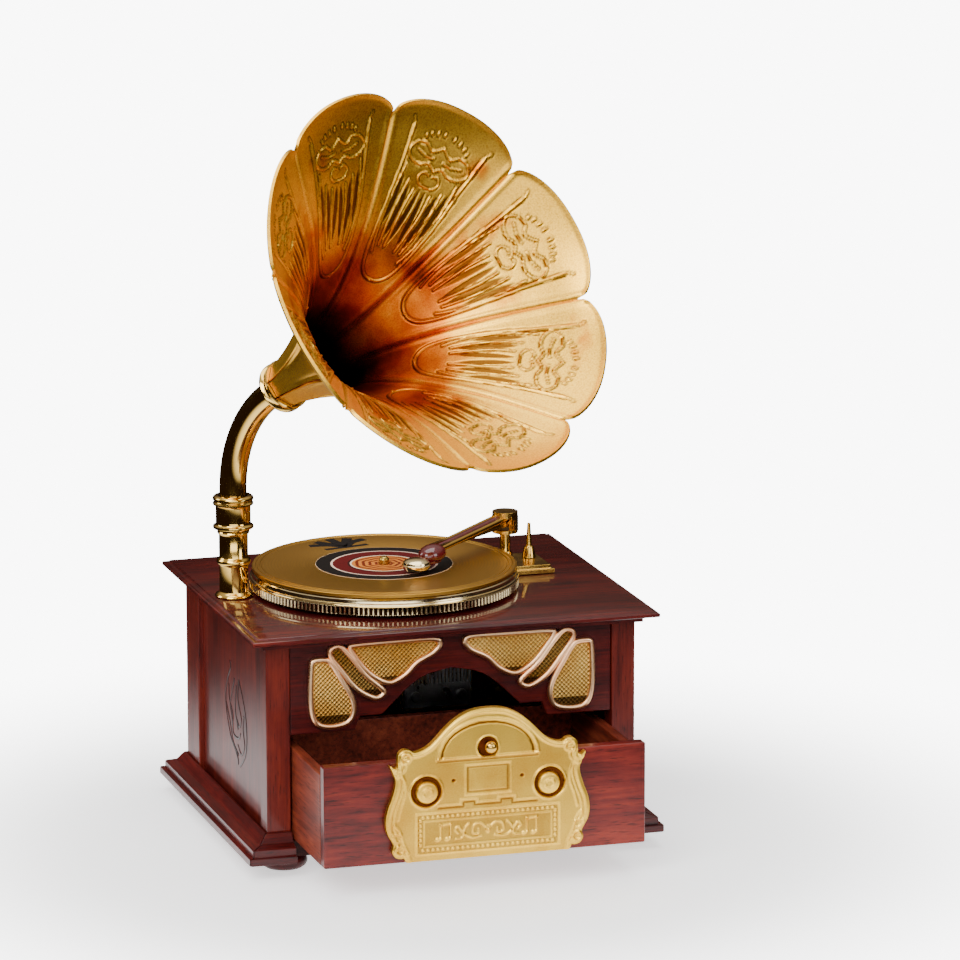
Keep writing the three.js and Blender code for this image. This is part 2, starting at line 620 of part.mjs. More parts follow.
/** The yoke: a turning foot, two cheeks that hold the pin, and a round cap over them. */
function tonearmYoke() {
  const top = YOKE_BOTTOM + YOKE_HEIGHT;
  const reach = YOKE_GAP / 2 + YOKE_CHEEK;
  const capBottom = top - 1.8;
  const cheek = (s) => {
    const [y0, y1] = spanX(s, YOKE_GAP / 2, reach);
    return block(-1.8, 1.8, y0, y1, YOKE_BOTTOM + 0.5, capBottom + 0.5);
  };
  const whole = joined(rod(YOKE_RADIUS + 0.2, YOKE_BOTTOM, YOKE_BOTTOM + 1, 20), cheek(1), cheek(-1),
    rod(YOKE_RADIUS + 0.2, capBottom, top, 20));
  return cut(whole, alongY(rod(ARM_PIN_RADIUS + GAP, -reach - 1, reach + 1, 12)).translate(0, 0, ARM_Z));
}

function tonearmPin() {
  const reach = YOKE_GAP / 2 + YOKE_CHEEK;
  return alongY(rod(ARM_PIN_RADIUS, -reach, reach, 12)).translate(0, 0, ARM_Z);
}

/** The arm: a bored hub between the cheeks, two rails, and a cross-bar at the far end. */
function tonearmArm() {
  const half = YOKE_GAP / 2 - RUNNING;
  const hub = alongY(rod(1.4, -half, half, 16)).translate(0, 0, ARM_Z);
  const end = ARM_LENGTH - SOUND_BOX_RADIUS - 5.6;
  const rail = (s) => {
    const [y0, y1] = spanX(s, 1, 2);
    return block(0.6, end, y0, y1, ARM_Z - 0.7, ARM_Z + 0.7);
  };
  const plate = block(0.6, end, -half, half, ARM_Z - 0.5, ARM_Z - 0.1);
  const bore = alongY(rod(ARM_PIN_RADIUS + GAP, -half - 1, half + 1, 12)).translate(0, 0, ARM_Z);
  return cut(joined(hub, rail(1), rail(-1), plate), bore);
}

/** The shell that joins the arm's end to the sound box. */
function headShell() {
  const x0 = ARM_LENGTH - SOUND_BOX_RADIUS - 5.4;
  const x1 = ARM_LENGTH - SOUND_BOX_RADIUS - 0.2;
  const outline = [[x0, -2.6], [x1 - 1, -2.9], [x1, -1.6], [x1, 1.6], [x1 - 1, 2.9], [x0, 2.6]];
  return slab(polygon(outline), 2.6).translate(0, 0, RECORD_TOP + 1.6);
}

/** The round sound box with the needle under it. */
function soundBox() {
  const z0 = RECORD_TOP + 0.9;
  const r = SOUND_BOX_RADIUS;
  const h = SOUND_BOX_HEIGHT;
  const body = turned([[0, z0], [r - 1.2, z0], [r - 0.2, z0 + 0.8], [r, z0 + h * 0.45],
    [r - 0.5, z0 + h * 0.72],
    [r - 1.8, z0 + h * 0.93], [0, z0 + h]], 24);
  const needle = turned([[0, RECORD_TOP + RUNNING], [0.45, z0 + 0.4], [0, z0 + 0.4]], 10);
  return joined(body, needle).translate(ARM_LENGTH, 0, 0);
}

function tonearmPieces() {
  const swing = new THREE.Group();
  swing.position.set(ARM_PIVOT_X, ARM_PIVOT_Y, 0);
  swing.rotation.z = degrees(ARM_HEADING);
  swing.add(
    piece("tonearm_yoke", tonearmYoke(), gold),
    piece("tonearm_pin", tonearmPin(), steel),
    piece("tonearm_arm", tonearmArm(), gold),
    piece("tonearm_head_shell", headShell(), redShell),
    piece("sound_box", soundBox(), gold),
  );
  return [
    piece("tonearm_base", tonearmBase(), gold),
    piece("tonearm_post", tonearmPost(), gold),
    piece("arm_rest", armRest(), gold),
    swing,
  ];
}

// ---- horn ---------------------------------------------------------------------------------
const SOCKET_TOP = BOARD_TOP + GAP + SOCKET_HEIGHT;
const SLEEVE_BOTTOM = SOCKET_TOP + GAP;
const SLEEVE_TOP = SLEEVE_BOTTOM + SLEEVE_HEIGHT;
const ELBOW_BOTTOM = SLEEVE_BOTTOM + SLEEVE_FLOOR + RUNNING;
const BEND_START = SLEEVE_TOP + TUBE_STRAIGHT;

/** The fixed lower tube with its foot and two beads. */
function hornSocket() {
  const z0 = BOARD_TOP + GAP;
  const r = SOCKET_RADIUS;
  const bead = (z) => [[r, z - 0.6], [r + 0.6, z], [r, z + 0.6]];
  return turned([[0, z0], [r + 0.8, z0], [r, z0 + 0.9], ...bead(z0 + 10.5), [r, SOCKET_TOP],
    [0, SOCKET_TOP]], 24);
}

/** The sleeve: a cup with banded ends that the elbow turns in. */
function hornSleeve() {
  const bore = TUBE_RADIUS + RUNNING;
  const r = SLEEVE_RADIUS;
  const [z0, z1] = [SLEEVE_BOTTOM, SLEEVE_TOP];
  return turned([[0, z0], [r - 0.2, z0], [r, z0 + 0.6], [r - 0.8, z0 + 1.2], [r - 0.8, z1 - 3],
    [r, z1 - 2.6], [r - 0.5, z1 - 1.8], [r - 0.5, z1 - 1.4], [r, z1 - 0.6], [r - 0.4, z1], [bore, z1],
    [bore, z0 + SLEEVE_FLOOR], [0, z0 + SLEEVE_FLOOR]], 24);
}

/** The end of the elbow's bend and of its neck, in the plane of the horn. */
function elbowEnd() {
  const turn = degrees(90 - HORN_RISE);
  const bendX = BEND_RADIUS * (1 - Math.cos(turn));
  const bendZ = BEND_START + BEND_RADIUS * Math.sin(turn);
  return {
    turn,
    x: bendX + TUBE_NECK * Math.sin(turn),
    z: bendZ + TUBE_NECK * Math.cos(turn),
  };
}

/** The elbow: upright, round the bend, and along the horn's axis to the collar. */
function hornElbow() {
  const { turn, x, z } = elbowEnd();
  const path = new THREE.CurvePath();
  const upright = (h) => new THREE.Vector3(0, 0, h);
  path.add(new THREE.LineCurve3(upright(ELBOW_BOTTOM), upright(BEND_START)));
  const bend = [];
  const steps = 8;
  for (let i = 0; i <= steps; i += 1) {
    const a = (turn * i) / steps;
    bend.push(new THREE.Vector3(BEND_RADIUS * (1 - Math.cos(a)), 0, BEND_START + BEND_RADIUS * Math.sin(a)));
  }
  for (let i = 0; i < steps; i += 1) path.add(new THREE.LineCurve3(bend[i], bend[i + 1]));
  path.add(new THREE.LineCurve3(bend[steps], new THREE.Vector3(x, 0, z)));
  const section = new THREE.Shape().absarc(0, 0, TUBE_RADIUS, 0, 2 * Math.PI);
  return new THREE.ExtrudeGeometry(section, { extrudePath: path, steps: 22, curveSegments: 8 });
}

/** The collar ring that the elbow's end and the horn's neck meet in. */
function hornCollar() {
  const bore = TUBE_RADIUS + RUNNING;
  const [z0, z1] = [-COLLAR_LENGTH * 0.66, COLLAR_LENGTH * 0.34];
  const r = COLLAR_RADIUS;
  return turnedRing([[bore, z0], [r - 1.6, z0], [r, z0 + 1], [r, z0 + 1.8], [r - 0.9, z0 + 2.4],
    [r - 0.3, z1],
    [bore, z1]], 24);
}

/** The flare of the horn's outside: x is the distance along the axis, y is the radius. */
function hornFlare() {
  const start = COLLAR_LENGTH * 0.34 + GAP;
  const run = HORN_LENGTH - start;
  const points = [[0, 0], [0.11, 0.035], [0.245, 0.093], [0.38, 0.176], [0.54, 0.324], [0.7, 0.527],
    [0.825, 0.73],
    [0.92, 0.896], [1, 1]];
  const reach = HORN_RADIUS - HORN_THROAT;
  const placed = points.map(([t, r]) => new THREE.Vector2(start + run * t, HORN_THROAT + reach * r));
  return new THREE.SplineCurve(placed);
}

/** The horn: an eight-sided neck that flares into eight round petals, one thin open shell. */
function horn() {
  const rows = 9;
  const flare = hornFlare();
  const ring = Array.from({ length: 2 * rows + 1 }, (_, i) => new THREE.Vector2(1, i));
  const perPetal = 6;
  const shell = new THREE.LatheGeometry(ring, PETALS * perPetal);
  const p = shell.attributes.position;
  for (let i = 0; i < p.count; i += 1) {
    const row = Math.round(p.getY(i)) % (2 * rows);
    const outside = row < rows;
    const share = (outside ? row : 2 * rows - 1 - row) / (rows - 1);
    const angle = Math.atan2(p.getZ(i), p.getX(i));
    const petal = ((((angle * PETALS) / (2 * Math.PI)) % 1) + 1) % 1; // 0 and 1 are the notches
    const across = Math.abs(2 * petal - 1);
    const lobe = Math.sqrt(Math.max(0, 1 - across ** 2.4));
    const s = share * (1 - NOTCH_DEPTH * (1 - lobe) * share);
    const at = flare.getPointAt(Math.min(s, 1));
    const along = flare.getTangentAt(Math.min(s, 1));
    const wall = outside ? 0 : HORN_WALL;
    const flat = Math.cos(Math.PI / PETALS) / Math.cos(((petal - 0.5) * 2 * Math.PI) / PETALS);
    const radius = (at.y - wall * along.x) * THREE.MathUtils.lerp(flat, 1, 0.75 * share);
    p.setXYZ(i, radius * Math.cos(angle), radius * Math.sin(angle), at.x + wall * along.y);
  }
  return facingOut(mergeVertices(bareOf(shell), 1e-4));
}

function bareOf(geometry) {
  geometry.deleteAttribute("normal");
  geometry.deleteAttribute("uv");
  return geometry;
}

function hornPieces() {
  const { x, z } = elbowEnd();
  const head = new THREE.Group();
  head.position.set(x, 0, z);
  head.rotation.y = degrees(90 - HORN_RISE);
  const bell = piece("horn", horn(), mattGold);
  bell.rotation.z = degrees(PETAL_TURN);
  head.add(piece("horn_collar", hornCollar(), gold), bell);
  const stand = new THREE.Group();
  stand.position.set(HORN_X, HORN_Y, 0);
  stand.rotation.z = degrees(HORN_HEADING);
  stand.add(
    piece("horn_socket", hornSocket(), gold),
    piece("horn_sleeve", hornSleeve(), gold),
    piece("horn_elbow", hornElbow(), gold),
    head,
  );
  return [stand];
}

// ---- movement -----------------------------------------------------------------------------
const BEDPLATE_LEFT = TURNTABLE_X - BARREL_RADIUS - 2;
const BEDPLATE_RIGHT = BRACKET_X + 3;
const BEDPLATE_BOTTOM = WORM_Z - 12;
const BEDPLATE_TOP = WALL_TOP - 2;
const MOVEMENT_SCREWS = [
  [BEDPLATE_LEFT + 4, BEDPLATE_BOTTOM + 4],
  [BEDPLATE_RIGHT - 4, BEDPLATE_BOTTOM + 4],
  [BEDPLATE_RIGHT - 4, BEDPLATE_TOP - 4],
];
const COMB_TOP = KEY_Z - CYLINDER_RADIUS - 0.7;
const COMB_ROOT = COMB_TOP - 10;
const COMB_BOTTOM = COMB_ROOT - 7;
const COMB_BACK = CYLINDER_Y + COMB_THICKNESS;
const COMB_SCREWS = [DRUM_LEFT + 4, DRUM_RIGHT - 4].map((x) => [x, (COMB_ROOT + COMB_BOTTOM) / 2]);

/** The cast bedplate, with the comb's seat and the two lugs that carry the cylinder. */
function bedplate() {
  const face = BEDPLATE_FACE;
  const back = face + BEDPLATE_THICKNESS;
  const plate = block(BEDPLATE_LEFT, BEDPLATE_RIGHT, face, back, BEDPLATE_BOTTOM, BEDPLATE_TOP);
  const seat = block(DRUM_LEFT, DRUM_RIGHT, COMB_BACK + GAP, face + 0.5, COMB_BOTTOM - 1, COMB_ROOT - 1);
  const nose = CYLINDER_Y - 4.5;
  const over = KEY_Z + BARREL_RADIUS + 0.5;
  const behind = MAIN_TOOTH_FRONT - 0.9;
  const hook = polygon([[face + 0.5, over], [face + 0.5, BEDPLATE_TOP], [nose, BEDPLATE_TOP],
    [nose, KEY_Z - 3],
    [behind, KEY_Z - 3], [behind, over]]);
  const leftLug = sidePlate(hook, DRUM_LEFT - 1.8, 1.3);
  const rightLug = block(LUG_X, LUG_X + LUG_THICKNESS, nose, face + 0.5, MIDDLE_Z - 3, KEY_Z + 4);
  const bore = (radius, z, x0, x1) => alongX(rod(radius, x0, x1)).translate(0, CYLINDER_Y, z);
  const through = (radius, x, z, y0) => alongY(rod(radius, y0, back + 1)).translate(x, 0, z);
  return cut(
    joined(plate, seat, leftLug, rightLug),
    bore(1 + GAP, KEY_Z, DRUM_LEFT - 3, LUG_X + 3),
    bore(0.8 + GAP, MIDDLE_Z, LUG_X - 1, LUG_X + 3),
    through(ARBOR_RADIUS + RUNNING, TURNTABLE_X, KEY_Z, face - 1),
    ...MOVEMENT_SCREWS.map(([x, z]) => through(SCREW_RADIUS + GAP, x, z, face - 1)),
    ...COMB_SCREWS.map(([x, z]) => alongY(rod(0.7 + GAP, COMB_BACK - 1, COMB_BACK + 6)).translate(x, 0, z)),
  );
}

/** The fixed drum that holds the mainspring. */
function springBarrel() {
  const bore = ARBOR_RADIUS + RUNNING;
  const [y0, y1] = [BARREL_FRONT, BARREL_FRONT + BARREL_LENGTH];
  const ring = [[bore, y0], [BARREL_RADIUS - 0.6, y0], [BARREL_RADIUS, y0 + 0.6], [BARREL_RADIUS, y1],
    [bore, y1]];
  return alongY(turnedRing(ring, 32)).translate(TURNTABLE_X, 0, KEY_Z);
}

/** The arbor with the main wheel, and the pinion that drives the turntable's crown wheel. */
function mainArbor() {
  const shaft = rod(ARBOR_RADIUS, TURNTABLE_Y + CROWN_RADIUS - 2, BACK_FACE + 1.4, 16);
  const web = rod(MAIN_RADIUS + 1.2, MAIN_WEB_FRONT, MAIN_WEB_FRONT + MAIN_WEB, 32);
  const teeth = faceTeeth(MAIN_TEETH, MAIN_RADIUS, 0.5).map((bar) =>
    bar.rotateX(Math.PI).translate(0, 0, MAIN_WEB_FRONT));
  const pinion = slab(gearOutline(CROWN_TEETH, CROWN_RADIUS, TOOTH_DEPTH / 2, 1), 1.4)
    .rotateZ(Math.PI / 2)
    .translate(0, 0, TURNTABLE_Y + CROWN_RADIUS - 0.7);
  return alongY(joined(shaft, web, pinion, ...teeth)).translate(TURNTABLE_X, 0, KEY_Z);
}

/** The bearing plate that hangs from the top board and carries the arbor's front end. */
function arborBracket() {
  const half = 5;
  const low = KEY_Z - ARBOR_RADIUS - 3;
  const y0 = TURNTABLE_Y + CROWN_RADIUS + 3;
  const plate = block(-half, half, y0, y0 + 1.6, low, BOARD_BOTTOM - GAP);
  const flange = block(-half, half, y0, y0 + 5, BOARD_BOTTOM - GAP - 1.4, BOARD_BOTTOM - GAP);
  const bore = alongY(rod(ARBOR_RADIUS + RUNNING, y0 - 1, y0 + 3)).translate(0, 0, KEY_Z);
  return cut(joined(plate, flange), bore).translate(TURNTABLE_X, 0, 0);
}

/** The pinned cylinder on its arbor, with a pinion at one end and a wheel at the other. */
function cylinder() {
  const pinionX = TURNTABLE_X + MAIN_RADIUS;
  const shaft = rod(1, pinionX - 1.6, WHEEL_X + 1.9, 12);
  const drum = turned([[0, DRUM_LEFT], [CYLINDER_RADIUS, DRUM_LEFT], [CYLINDER_RADIUS, DRUM_RIGHT],
    [0, DRUM_RIGHT]],
    32);
  const pinion = slab(gearOutline(CYLINDER_PINION_TEETH, CYLINDER_PINION_RADIUS, TOOTH_DEPTH / 2, 0.9), 1.4)
    .rotateZ(Math.PI / 2)
    .translate(0, 0, pinionX - 0.7);
  const wheelOutline = gearOutline(CYLINDER_WHEEL_TEETH, WHEEL_RADIUS, 0.4, 0.5);
  const wheel = slab(wheelOutline, 1.6).translate(0, 0, WHEEL_X);
  return alongX(joined(shaft, drum, pinion, wheel)).translate(0, CYLINDER_Y, KEY_Z);
}

/** The middle wheel of the train: its pinion takes the cylinder's wheel, its wheel the worm. */
function middleWheel() {
  const shaft = rod(0.8, LUG_X + 0.2, BRACKET_X + 1.2, 10);
  const pinion = slab(gearOutline(MIDDLE_PINION_TEETH, MIDDLE_PINION_RADIUS, 0.4, 0.5), 1.9)
    .rotateZ(Math.PI / MIDDLE_PINION_TEETH)
    .translate(0, 0, WHEEL_X - 0.1);
  const wheel = slab(gearOutline(MIDDLE_WHEEL_TEETH, MIDDLE_WHEEL_RADIUS, 0.4, 0.5), 1.4)
    .translate(0, 0, MIDDLE_WHEEL_X);
  return alongX(joined(shaft, pinion, wheel)).translate(0, CYLINDER_Y, MIDDLE_Z);
}

/** The governor: a worm on an upright staff with a two-bladed air brake. */
function governor() {
  const [y0, y1] = [BRACKET_FRONT + 1.4 + RUNNING, BEDPLATE_FACE - RUNNING];
  const staff = rod(0.6, y0, y1, 10);
  const worm = turned([[0, CYLINDER_Y - 3.5], [WORM_RADIUS, CYLINDER_Y - 3], [WORM_RADIUS, CYLINDER_Y + 3],
    [0, CYLINDER_Y + 3.5]], 12);
  const blade = block(-FAN_RADIUS, FAN_RADIUS, -0.3, 0.3, y1 - 7, y1 - 1.5);
  return alongY(joined(staff, worm, blade)).translate(WORM_X, 0, WORM_Z);
}

/** The bracket that carries the governor's front pivot and the middle wheel's end. */
function governorBracket() {
  const [z0, z1] = [WORM_Z - 3.5, WORM_Z + 3.5];
  const front = block(WORM_X - 3, BRACKET_X + 1.4, BRACKET_FRONT, BRACKET_FRONT + 1.4, z0, z1);
  const leg = block(BRACKET_X, BRACKET_X + 1.4, BRACKET_FRONT, BEDPLATE_FACE - GAP, z0, z1);
  const ear = block(BRACKET_X, BRACKET_X + 1.4, CYLINDER_Y - 3, CYLINDER_Y + 3, z0 + 1, MIDDLE_Z + 3);
  const bore = alongX(rod(0.8 + GAP, BRACKET_X - 1, BRACKET_X + 3, 12)).translate(0, CYLINDER_Y, MIDDLE_Z);
  return cut(joined(front, leg, ear), bore);
}

/** The comb: one steel plate cut into teeth that reach up to the cylinder. */
function comb() {
  const pitch = (CYLINDER_LENGTH - 1) / COMB_TEETH;
  const left = DRUM_LEFT + 0.5;
  const outline = [[left, COMB_BOTTOM], [left + pitch * COMB_TEETH - 0.35, COMB_BOTTOM]];
  for (let i = COMB_TEETH - 1; i >= 0; i -= 1) {
    const x0 = left + i * pitch;
    const x1 = x0 + pitch - 0.35;
    if (i < COMB_TEETH - 1) outline.push([x1, COMB_ROOT]);
    outline.push([x1, COMB_TOP], [x0, COMB_TOP]);
    if (i > 0) outline.push([x0, COMB_ROOT]);
  }
  const plate = uprightPlate(polygon(outline), CYLINDER_Y, COMB_THICKNESS);
  const bores = COMB_SCREWS.map(([x, z]) =>
    alongY(rod(0.7 + GAP, CYLINDER_Y - 1, COMB_BACK + 1)).translate(x, 0, z));
  return cut(plate, ...bores);
}

/** A cheese-head screw along +y with its head's underside at y = 0. */
function screw(shank, head, length) {
  return alongY(turned([[0, -1.2], [head - 0.3, -1.2], [head, -0.9], [head, 0], [shank, 0], [shank, length],
    [0, length]], 12));
}

function screws() {
  const combScrews = COMB_SCREWS.map(([x, z], i) =>
    piece(`comb_screw_${i + 1}`, screw(0.7, 1.6, 5.5).translate(x, CYLINDER_Y - GAP, z), steel));
  const plateScrews = MOVEMENT_SCREWS.map(([x, z], i) =>
    piece(`movement_screw_${i + 1}`,
      screw(SCREW_RADIUS, SCREW_HEAD, PANEL_THICKNESS + BEDPLATE_THICKNESS + GAP)
        .rotateZ(Math.PI).translate(x, BACK_FACE + GAP, z), steel));
  return [...combScrews, ...plateScrews];
}

/** The butterfly key on the arbor's end, outside the back panel. */
function windingKey() {
  const y0 = BACK_FACE + 1.4 + GAP;
  const stem = rod(2.6, y0, y0 + 9, 16);
  const loopY = y0 + 10;
  const loopX = KEY_LOOP_RADIUS + 1.6;
  const loop = (x) => {
    const ring = new THREE.Shape().absarc(x, loopY, KEY_LOOP_RADIUS, 0, 2 * Math.PI);
    ring.holes.push(new THREE.Path().absarc(x, loopY, KEY_LOOP_HOLE, 0, 2 * Math.PI, true));
    return slab(ring, 1.4).translate(0, 0, -0.7);
  };
  const bridge = block(-3, 3, y0 + 5, y0 + 12, -0.7, 0.7);
  return joined(alongY(stem), loop(loopX), loop(-loopX), bridge).translate(TURNTABLE_X, 0, KEY_Z);
}

function movementPieces() {
  return [
    piece("movement_bedplate", bedplate(), steel),
    piece("spring_barrel", springBarrel(), brass),
    piece("main_arbor", mainArbor(), steel),
    piece("arbor_bracket", arborBracket(), steel),
    piece("pinned_cylinder", cylinder(), brass),
    piece("music_comb", comb(), steel),
    piece("middle_wheel", middleWheel(), brass),
    piece("governor", governor(), steel),
    piece("governor_bracket", governorBracket(), brass),
    piece("winding_key", windingKey(), gold),
    ...screws(),
  ];
}

// ---- the whole music box ------------------------------------------------------------------
function casePieces() {
  return [
    piece("top_board", topBoard(), mahogany),
    ...pair("side_panel", sidePanel, mahogany),
    ...pair("front_post", frontPost, mahogany),
    ...pair("rear_post", rearPost, mahogany),
    piece("back_panel", backPanel(), mahogany),
    piece("front_fascia", frontFascia(), mahogany),
    piece("floor_board", floorBoard(), darkWood),
    ...plinthPieces(),
    ...feet(),
    ...pair("grille", grille, gold),
  ];
}

function turntablePieces() {
  return [
    piece("spindle_bush", spindleBush(), brass),
    piece("platter", platter(), gold),
    piece("record", record(), gold),
    piece("turntable_spindle", turntableSpindle(), steel),
  ];
}

const model = new THREE.Group();
model.add(
  ...casePieces(),
  ...drawerPieces(),
  piece("plaque", plaque(), mattGold),
  piece("drawer_knob", drawerKnob(), gold),
  ...turntablePieces(),
  ...tonearmPieces(),
  ...hornPieces(),
  ...movementPieces(),
);

model.updateMatrixWorld(true);
const middle = new THREE.Box3().setFromObject(model, true).getCenter(new THREE.Vector3());
model.position.set(-middle.x, -middle.y, 0);

export default model;
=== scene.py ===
"""Gramophone music box: the visible pieces and finishes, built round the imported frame.

Lengths in the classes are millimetres in the frame's own axes; meshes are made in metres.
"""

import json
import logging
import math
from dataclasses import dataclass, field
from enum import Enum
from typing import Callable, Iterable, Sequence

import bpy
import numpy as np
from mathutils import Matrix, Vector


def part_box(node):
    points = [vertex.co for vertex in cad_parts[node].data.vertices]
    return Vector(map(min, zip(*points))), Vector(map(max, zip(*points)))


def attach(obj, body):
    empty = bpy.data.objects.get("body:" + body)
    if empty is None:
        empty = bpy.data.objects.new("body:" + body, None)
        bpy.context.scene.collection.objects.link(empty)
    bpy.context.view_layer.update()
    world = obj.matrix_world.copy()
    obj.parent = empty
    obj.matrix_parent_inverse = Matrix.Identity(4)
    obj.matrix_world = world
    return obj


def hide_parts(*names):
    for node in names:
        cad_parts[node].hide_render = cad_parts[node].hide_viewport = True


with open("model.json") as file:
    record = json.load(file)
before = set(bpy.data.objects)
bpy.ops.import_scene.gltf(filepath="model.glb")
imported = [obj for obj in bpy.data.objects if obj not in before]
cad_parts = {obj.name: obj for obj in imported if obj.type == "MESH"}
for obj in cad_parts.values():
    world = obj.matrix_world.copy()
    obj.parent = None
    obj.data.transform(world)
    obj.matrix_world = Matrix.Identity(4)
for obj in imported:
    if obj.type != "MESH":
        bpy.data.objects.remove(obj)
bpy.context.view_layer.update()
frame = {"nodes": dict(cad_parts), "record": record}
LOG = logging.getLogger("gramophone")
MM = 0.001
RECORD = frame["record"]
BODY_OF = {n: body for body, names in RECORD["behaviour"]["bodies"].items() for n in names}
SLOT_OF = {part["node"]: part["material_slot"] for part in RECORD["subparts"]}
Point2 = tuple[float, float]
Point3 = tuple[float, float, float]


# ---- small tools --------------------------------------------------------------------------
def srgb(code: str) -> tuple[float, float, float, float]:
    """Turns an sRGB hex colour to linear light.

    Args:
        code: six hex digits after a hash sign.

    Returns:
        Linear red, green, blue and an alpha of 1.
    """
    parts = [int(code[i:i + 2], 16) / 255 for i in (1, 3, 5)]
    return (*[c / 12.92 if c <= 0.04045 else ((c + 0.055) / 1.055) ** 2.4 for c in parts], 1.0)


def add_node(tree: bpy.types.NodeTree, kind: str, inputs: dict | None = None, **settings) -> bpy.types.Node:
    """Adds one shader node with its settings, its socket values and its links.

    Args:
        tree: the node tree.
        kind: the node's type name.
        inputs: socket name or number to a value, or to an output socket to link.
        settings: the node's own properties; stops=[(place, hex), ...] fills a colour ramp.

    Returns:
        The new node.
    """
    made = tree.nodes.new(kind)
    for place, (position, code) in enumerate(settings.pop("stops", [])):
        ramp = made.color_ramp
        stop = ramp.elements[place] if place < 2 else ramp.elements.new(position)
        stop.position = position
        stop.color = srgb(code)
    for name, value in settings.items():
        setattr(made, name, value)
    for name, value in (inputs or {}).items():
        if isinstance(value, bpy.types.NodeSocket):
            tree.links.new(value, made.inputs[name])
        else:
            made.inputs[name].default_value = value
    return made


def deselect() -> None:
    """Leaves object mode with nothing selected."""
    if bpy.context.object and bpy.context.object.mode != "OBJECT":
        bpy.ops.object.mode_set(mode="OBJECT")
    bpy.ops.object.select_all(action="DESELECT")


def only(obj: bpy.types.Object) -> bpy.types.Object:
    """Makes one object the selected and active one, and returns it."""
    deselect()
    obj.select_set(True)
    bpy.context.view_layer.objects.active = obj
    return obj


def keep_place(obj: bpy.types.Object) -> bpy.types.Object:
    """Puts the object's place, turn and size into its mesh, and returns it."""
    only(obj)
    bpy.ops.object.transform_apply(location=True, rotation=True, scale=True)
    return obj


def modify(obj: bpy.types.Object, kind: str, **settings) -> bpy.types.Object:
    """Adds one modifier, sets it, and applies it.

    Args:
        obj: the mesh object.
        kind: the modifier's type.
        settings: its properties.

    Returns:
        The same object.
    """
    only(obj)
    modifier = obj.modifiers.new(kind.title(), kind)
    for name, value in settings.items():
        setattr(modifier, name, value)
    bpy.ops.object.modifier_apply(modifier=modifier.name)
    return obj


def smooth(obj: bpy.types.Object, degrees: float = 35) -> bpy.types.Object:
    """Shades the object smooth below an angle, and returns it."""
    only(obj)
    bpy.ops.object.shade_smooth_by_angle(angle=math.radians(degrees))
    return obj


def coordinates(obj: bpy.types.Object) -> np.ndarray:
    """The object's vertices in metres, one row each."""
    co = np.empty(len(obj.data.vertices) * 3)
    obj.data.vertices.foreach_get("co", co)
    return co.reshape(-1, 3)


def move_to(obj: bpy.types.Object, co: np.ndarray) -> None:
    """Writes the vertices back, in metres."""
    obj.data.vertices.foreach_set("co", co.astype(np.float32).ravel())
    obj.data.update()


def attribute(obj: bpy.types.Object, name: str, values: np.ndarray) -> None:
    """Stores one number for each vertex under a name that a finish can read."""
    layer = obj.data.attributes.new(name, "FLOAT", "POINT")
    layer.data.foreach_set("value", values.astype(np.float32))


def centre(node: str) -> Vector:
    """The middle of a frame node's box, in millimetres."""
    low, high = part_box(node)
    return (low + high) / 2 / MM


def smooth_line(points: Sequence[Point2], per_span: int = 6, closed: bool = False) -> list[Point2]:
    """A Catmull-Rom line through the points.

    Args:
        points: the points it goes through.
        per_span: how many points each span gets.
        closed: whether the last point joins the first.

    Returns:
        The line's points.
    """
    p = np.array(points, float)
    count = len(p)
    spans = count if closed else count - 1
    at = (lambda i: p[i % count]) if closed else (lambda i: p[min(max(i, 0), count - 1)])
    out = []
    for i in range(spans):
        a, b, c, d = at(i - 1), at(i), at(i + 1), at(i + 2)
        for t in np.arange(per_span) / per_span:
            out.append(tuple(0.5 * (2 * b + (c - a) * t + (2 * a - 5 * b + 4 * c - d) * t ** 2
                                    + (3 * b - a - 3 * c + d) * t ** 3)))
    return out if closed else [*out, tuple(p[-1])]


